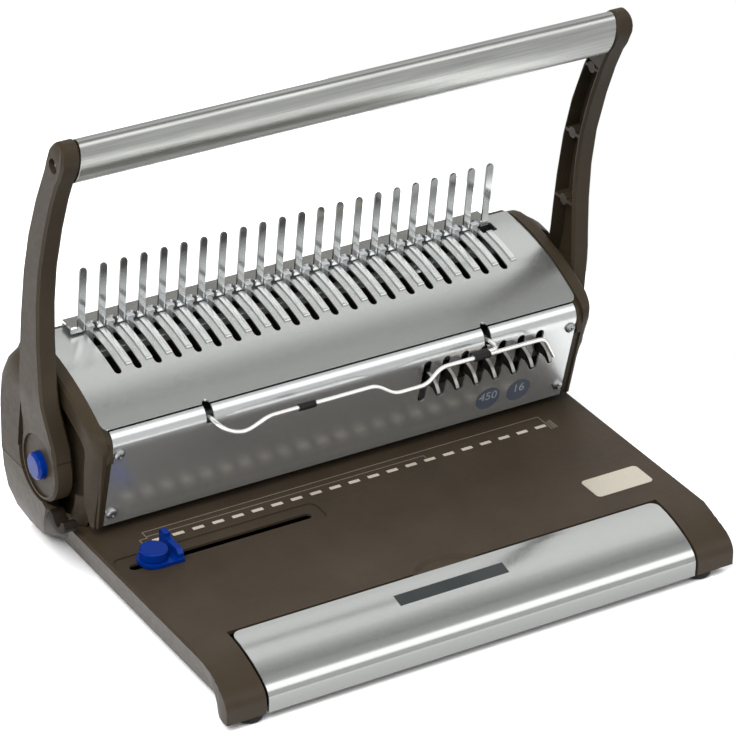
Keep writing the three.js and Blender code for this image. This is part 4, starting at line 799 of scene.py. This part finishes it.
CORNER_FILL = [
    (4.3, 97.0), (9.0, 97.0), (10.0, 108.0), (13.0, 113.0), (18.0, 116.0),
    under_cover(18.0, 1.7), under_cover(14.5, 1.7), under_cover(11.3, 1.8),
    (9.0, 114.2), (7.0, 112.3), (5.5, 109.0), (4.6, 105.5), (4.3, 102.5),
]
CORNER_FILL_X = (171.2, 175.6)
CORNER_FILL_EDGE = 0.3

for side, sign in (("left", -1), ("right", 1)):
    x0, x1 = sorted(sign * x for x in CORNER_FILL_X)
    side_prism("corner_fill_" + side, CORNER_FILL, x0, x1, "brown_plastic", CASING, CORNER_FILL_EDGE)

# Dark notched piece under the left hub
KEEPER = [
    (54.0, 40.0), (55.0, 51.0), (52.0, 53.0), (50.0, 47.5), (46.5, 46.5), (46.0, 49.0), (42.0, 48.0),
    (39.0, 44.0), (36.0, 41.5), (33.0, 42.5), (30.0, 48.0), (26.5, 49.0), (24.5, 45.0), (26.5, 41.5),
    (30.0, 39.0), (36.0, 37.0),
]
KEEPER_X = (-195.5, -186.5)
KEEPER_EDGE = 0.4

side_prism("hub_keeper", KEEPER, *KEEPER_X, "brown_plastic", DARK_BROWN, KEEPER_EDGE)


# Camera
PHOTO_SIDE = 736
FOCAL_PIXELS = 3924.27
SENSOR_WIDTH = 36
CLIP_END = 50
CAMERA_PLACE = (-1124.546, -1843.303, 1343.001)
# Turn from the front towards the left, tilt down, and roll
CAMERA_ANGLES = (-31.578, 29.526, -1.254)


def camera():
    data = bpy.data.cameras.new("camera")
    data.sensor_width = SENSOR_WIDTH
    data.sensor_fit = "HORIZONTAL"
    data.lens = FOCAL_PIXELS / PHOTO_SIDE * SENSOR_WIDTH
    data.clip_end = CLIP_END
    data.dof.use_dof = False
    obj = added("camera", data)
    turn, tilt, roll = (math.radians(angle) for angle in CAMERA_ANGLES)
    ahead = Vector((-math.sin(turn) * math.cos(tilt), math.cos(turn) * math.cos(tilt), -math.sin(tilt)))
    right = ahead.cross(Vector((0, 0, 1))).normalized()
    down = ahead.cross(right)
    across = math.cos(roll) * right + math.sin(roll) * down
    below = -math.sin(roll) * right + math.cos(roll) * down
    axes = Matrix((across, -below, -ahead)).transposed().to_4x4()
    obj.matrix_world = Matrix.Translation(place(*CAMERA_PLACE)) @ axes
    scene.camera = obj


# Lights: name, place and aim in metres, side of the square, power
LIGHTS = (
    ("key", (-1.4, -0.9, 2.2), (0, 0, 0.1), 1.6, 110),
    ("fill", (1.8, -1.6, 1.4), (0, 0, 0.1), 1.4, 22),
    ("back", (1.2, 1.5, 1.8), (0.3, 0.1, 0), 1.2, 40),
)


def area(name, where, aim, size, power):
    data = bpy.data.lights.new(name, "AREA")
    data.shape = "RECTANGLE"
    data.size = size
    data.size_y = size
    data.energy = power
    obj = added(name, data)
    obj.location = where
    obj.rotation_euler = (Vector(aim) - Vector(where)).to_track_quat("-Z", "Y").to_euler()
    obj.visible_glossy = False


# Room: the soft light of all sides, and what gloss sees from the front (0) over the top (0.5) to the back (1)
ROOM_FILL = 0.6
ROOM_BANDS = (
    (0.0, 0.8), (0.08, 0.7), (0.14, 0.5), (0.2, 2.2), (0.32, 2.3), (0.38, 0.5), (0.46, 0.42), (0.53, 0.22),
    (0.59, 1.1), (0.64, 1.1), (0.70, 1.05), (0.75, 0.95), (0.82, 0.6), (1.0, 0.7),
)


def world():
    """White to the camera; gloss sees bands of light that run across the room, one above the other."""
    sky = bpy.data.worlds.new("studio")
    scene.world = sky
    sky.use_nodes = True
    tree = sky.node_tree
    tree.nodes.clear()
    new, link = tree.nodes.new, tree.links.new
    out = new("ShaderNodeOutputWorld")
    path = new("ShaderNodeLightPath")

    def room(strength):
        background = new("ShaderNodeBackground")
        background.inputs["Color"].default_value = (1, 1, 1, 1)
        background.inputs["Strength"].default_value = strength
        return background

    def mixed(chooser, first, second):
        mix = new("ShaderNodeMixShader")
        link(chooser, mix.inputs[0])
        link(first.outputs[0], mix.inputs[1])
        link(second.outputs[0], mix.inputs[2])
        return mix

    def worked_out(operation, first, second):
        node = new("ShaderNodeMath")
        node.operation = operation
        link(first, node.inputs[0])
        if isinstance(second, (int, float)):
            node.inputs[1].default_value = second
        else:
            link(second, node.inputs[1])
        return node.outputs[0]

    where = new("ShaderNodeTexCoord")
    parts = new("ShaderNodeSeparateXYZ")
    link(where.outputs["Generated"], parts.inputs[0])
    front = worked_out("MULTIPLY", parts.outputs["Y"], -1)
    turn = worked_out("ARCTAN2", parts.outputs["Z"], front)
    ramp = new("ShaderNodeValToRGB")
    ramp.color_ramp.interpolation = "EASE"
    stops = ramp.color_ramp.elements
    for position, _ in ROOM_BANDS[1:-1]:
        stops.new(position)
    for stop, (position, value) in zip(stops, ROOM_BANDS):
        stop.position = position
        stop.color = (value, value, value, 1)
    link(worked_out("DIVIDE", turn, math.pi), ramp.inputs["Fac"])
    gloss = room(1.0)
    link(ramp.outputs["Color"], gloss.inputs["Color"])
    shiny = worked_out("MAXIMUM", path.outputs["Is Glossy Ray"], path.outputs["Is Transmission Ray"])
    lit = mixed(shiny, room(ROOM_FILL), gloss)
    link(mixed(path.outputs["Is Camera Ray"], lit, room(1.0)).outputs[0], out.inputs["Surface"])


# Floor that catches the shadow
FLOOR = (-900, 330, -340, 1500, 60)
FLOOR_CORNER = 6
FLOOR_THICK = 0.4
FLOOR_ROUGHNESS = 0.9
FLOOR_GLOSS = 0.1
FLOOR_MOTTLE = 0.8


def floor():
    obj = block("floor", rounded(*FLOOR, FLOOR_CORNER), -FLOOR_THICK, 0)
    finish = Finish("floor", roughness=FLOOR_ROUGHNESS)
    finish.shader.inputs["Specular IOR Level"].default_value = FLOOR_GLOSS
    finish.colours(finish.noise(FLOOR_MOTTLE), (247, 247, 247), (249, 249, 249))
    dress(obj, finish.material)


camera()
floor()
world()
for light in LIGHTS:
    area(*light)
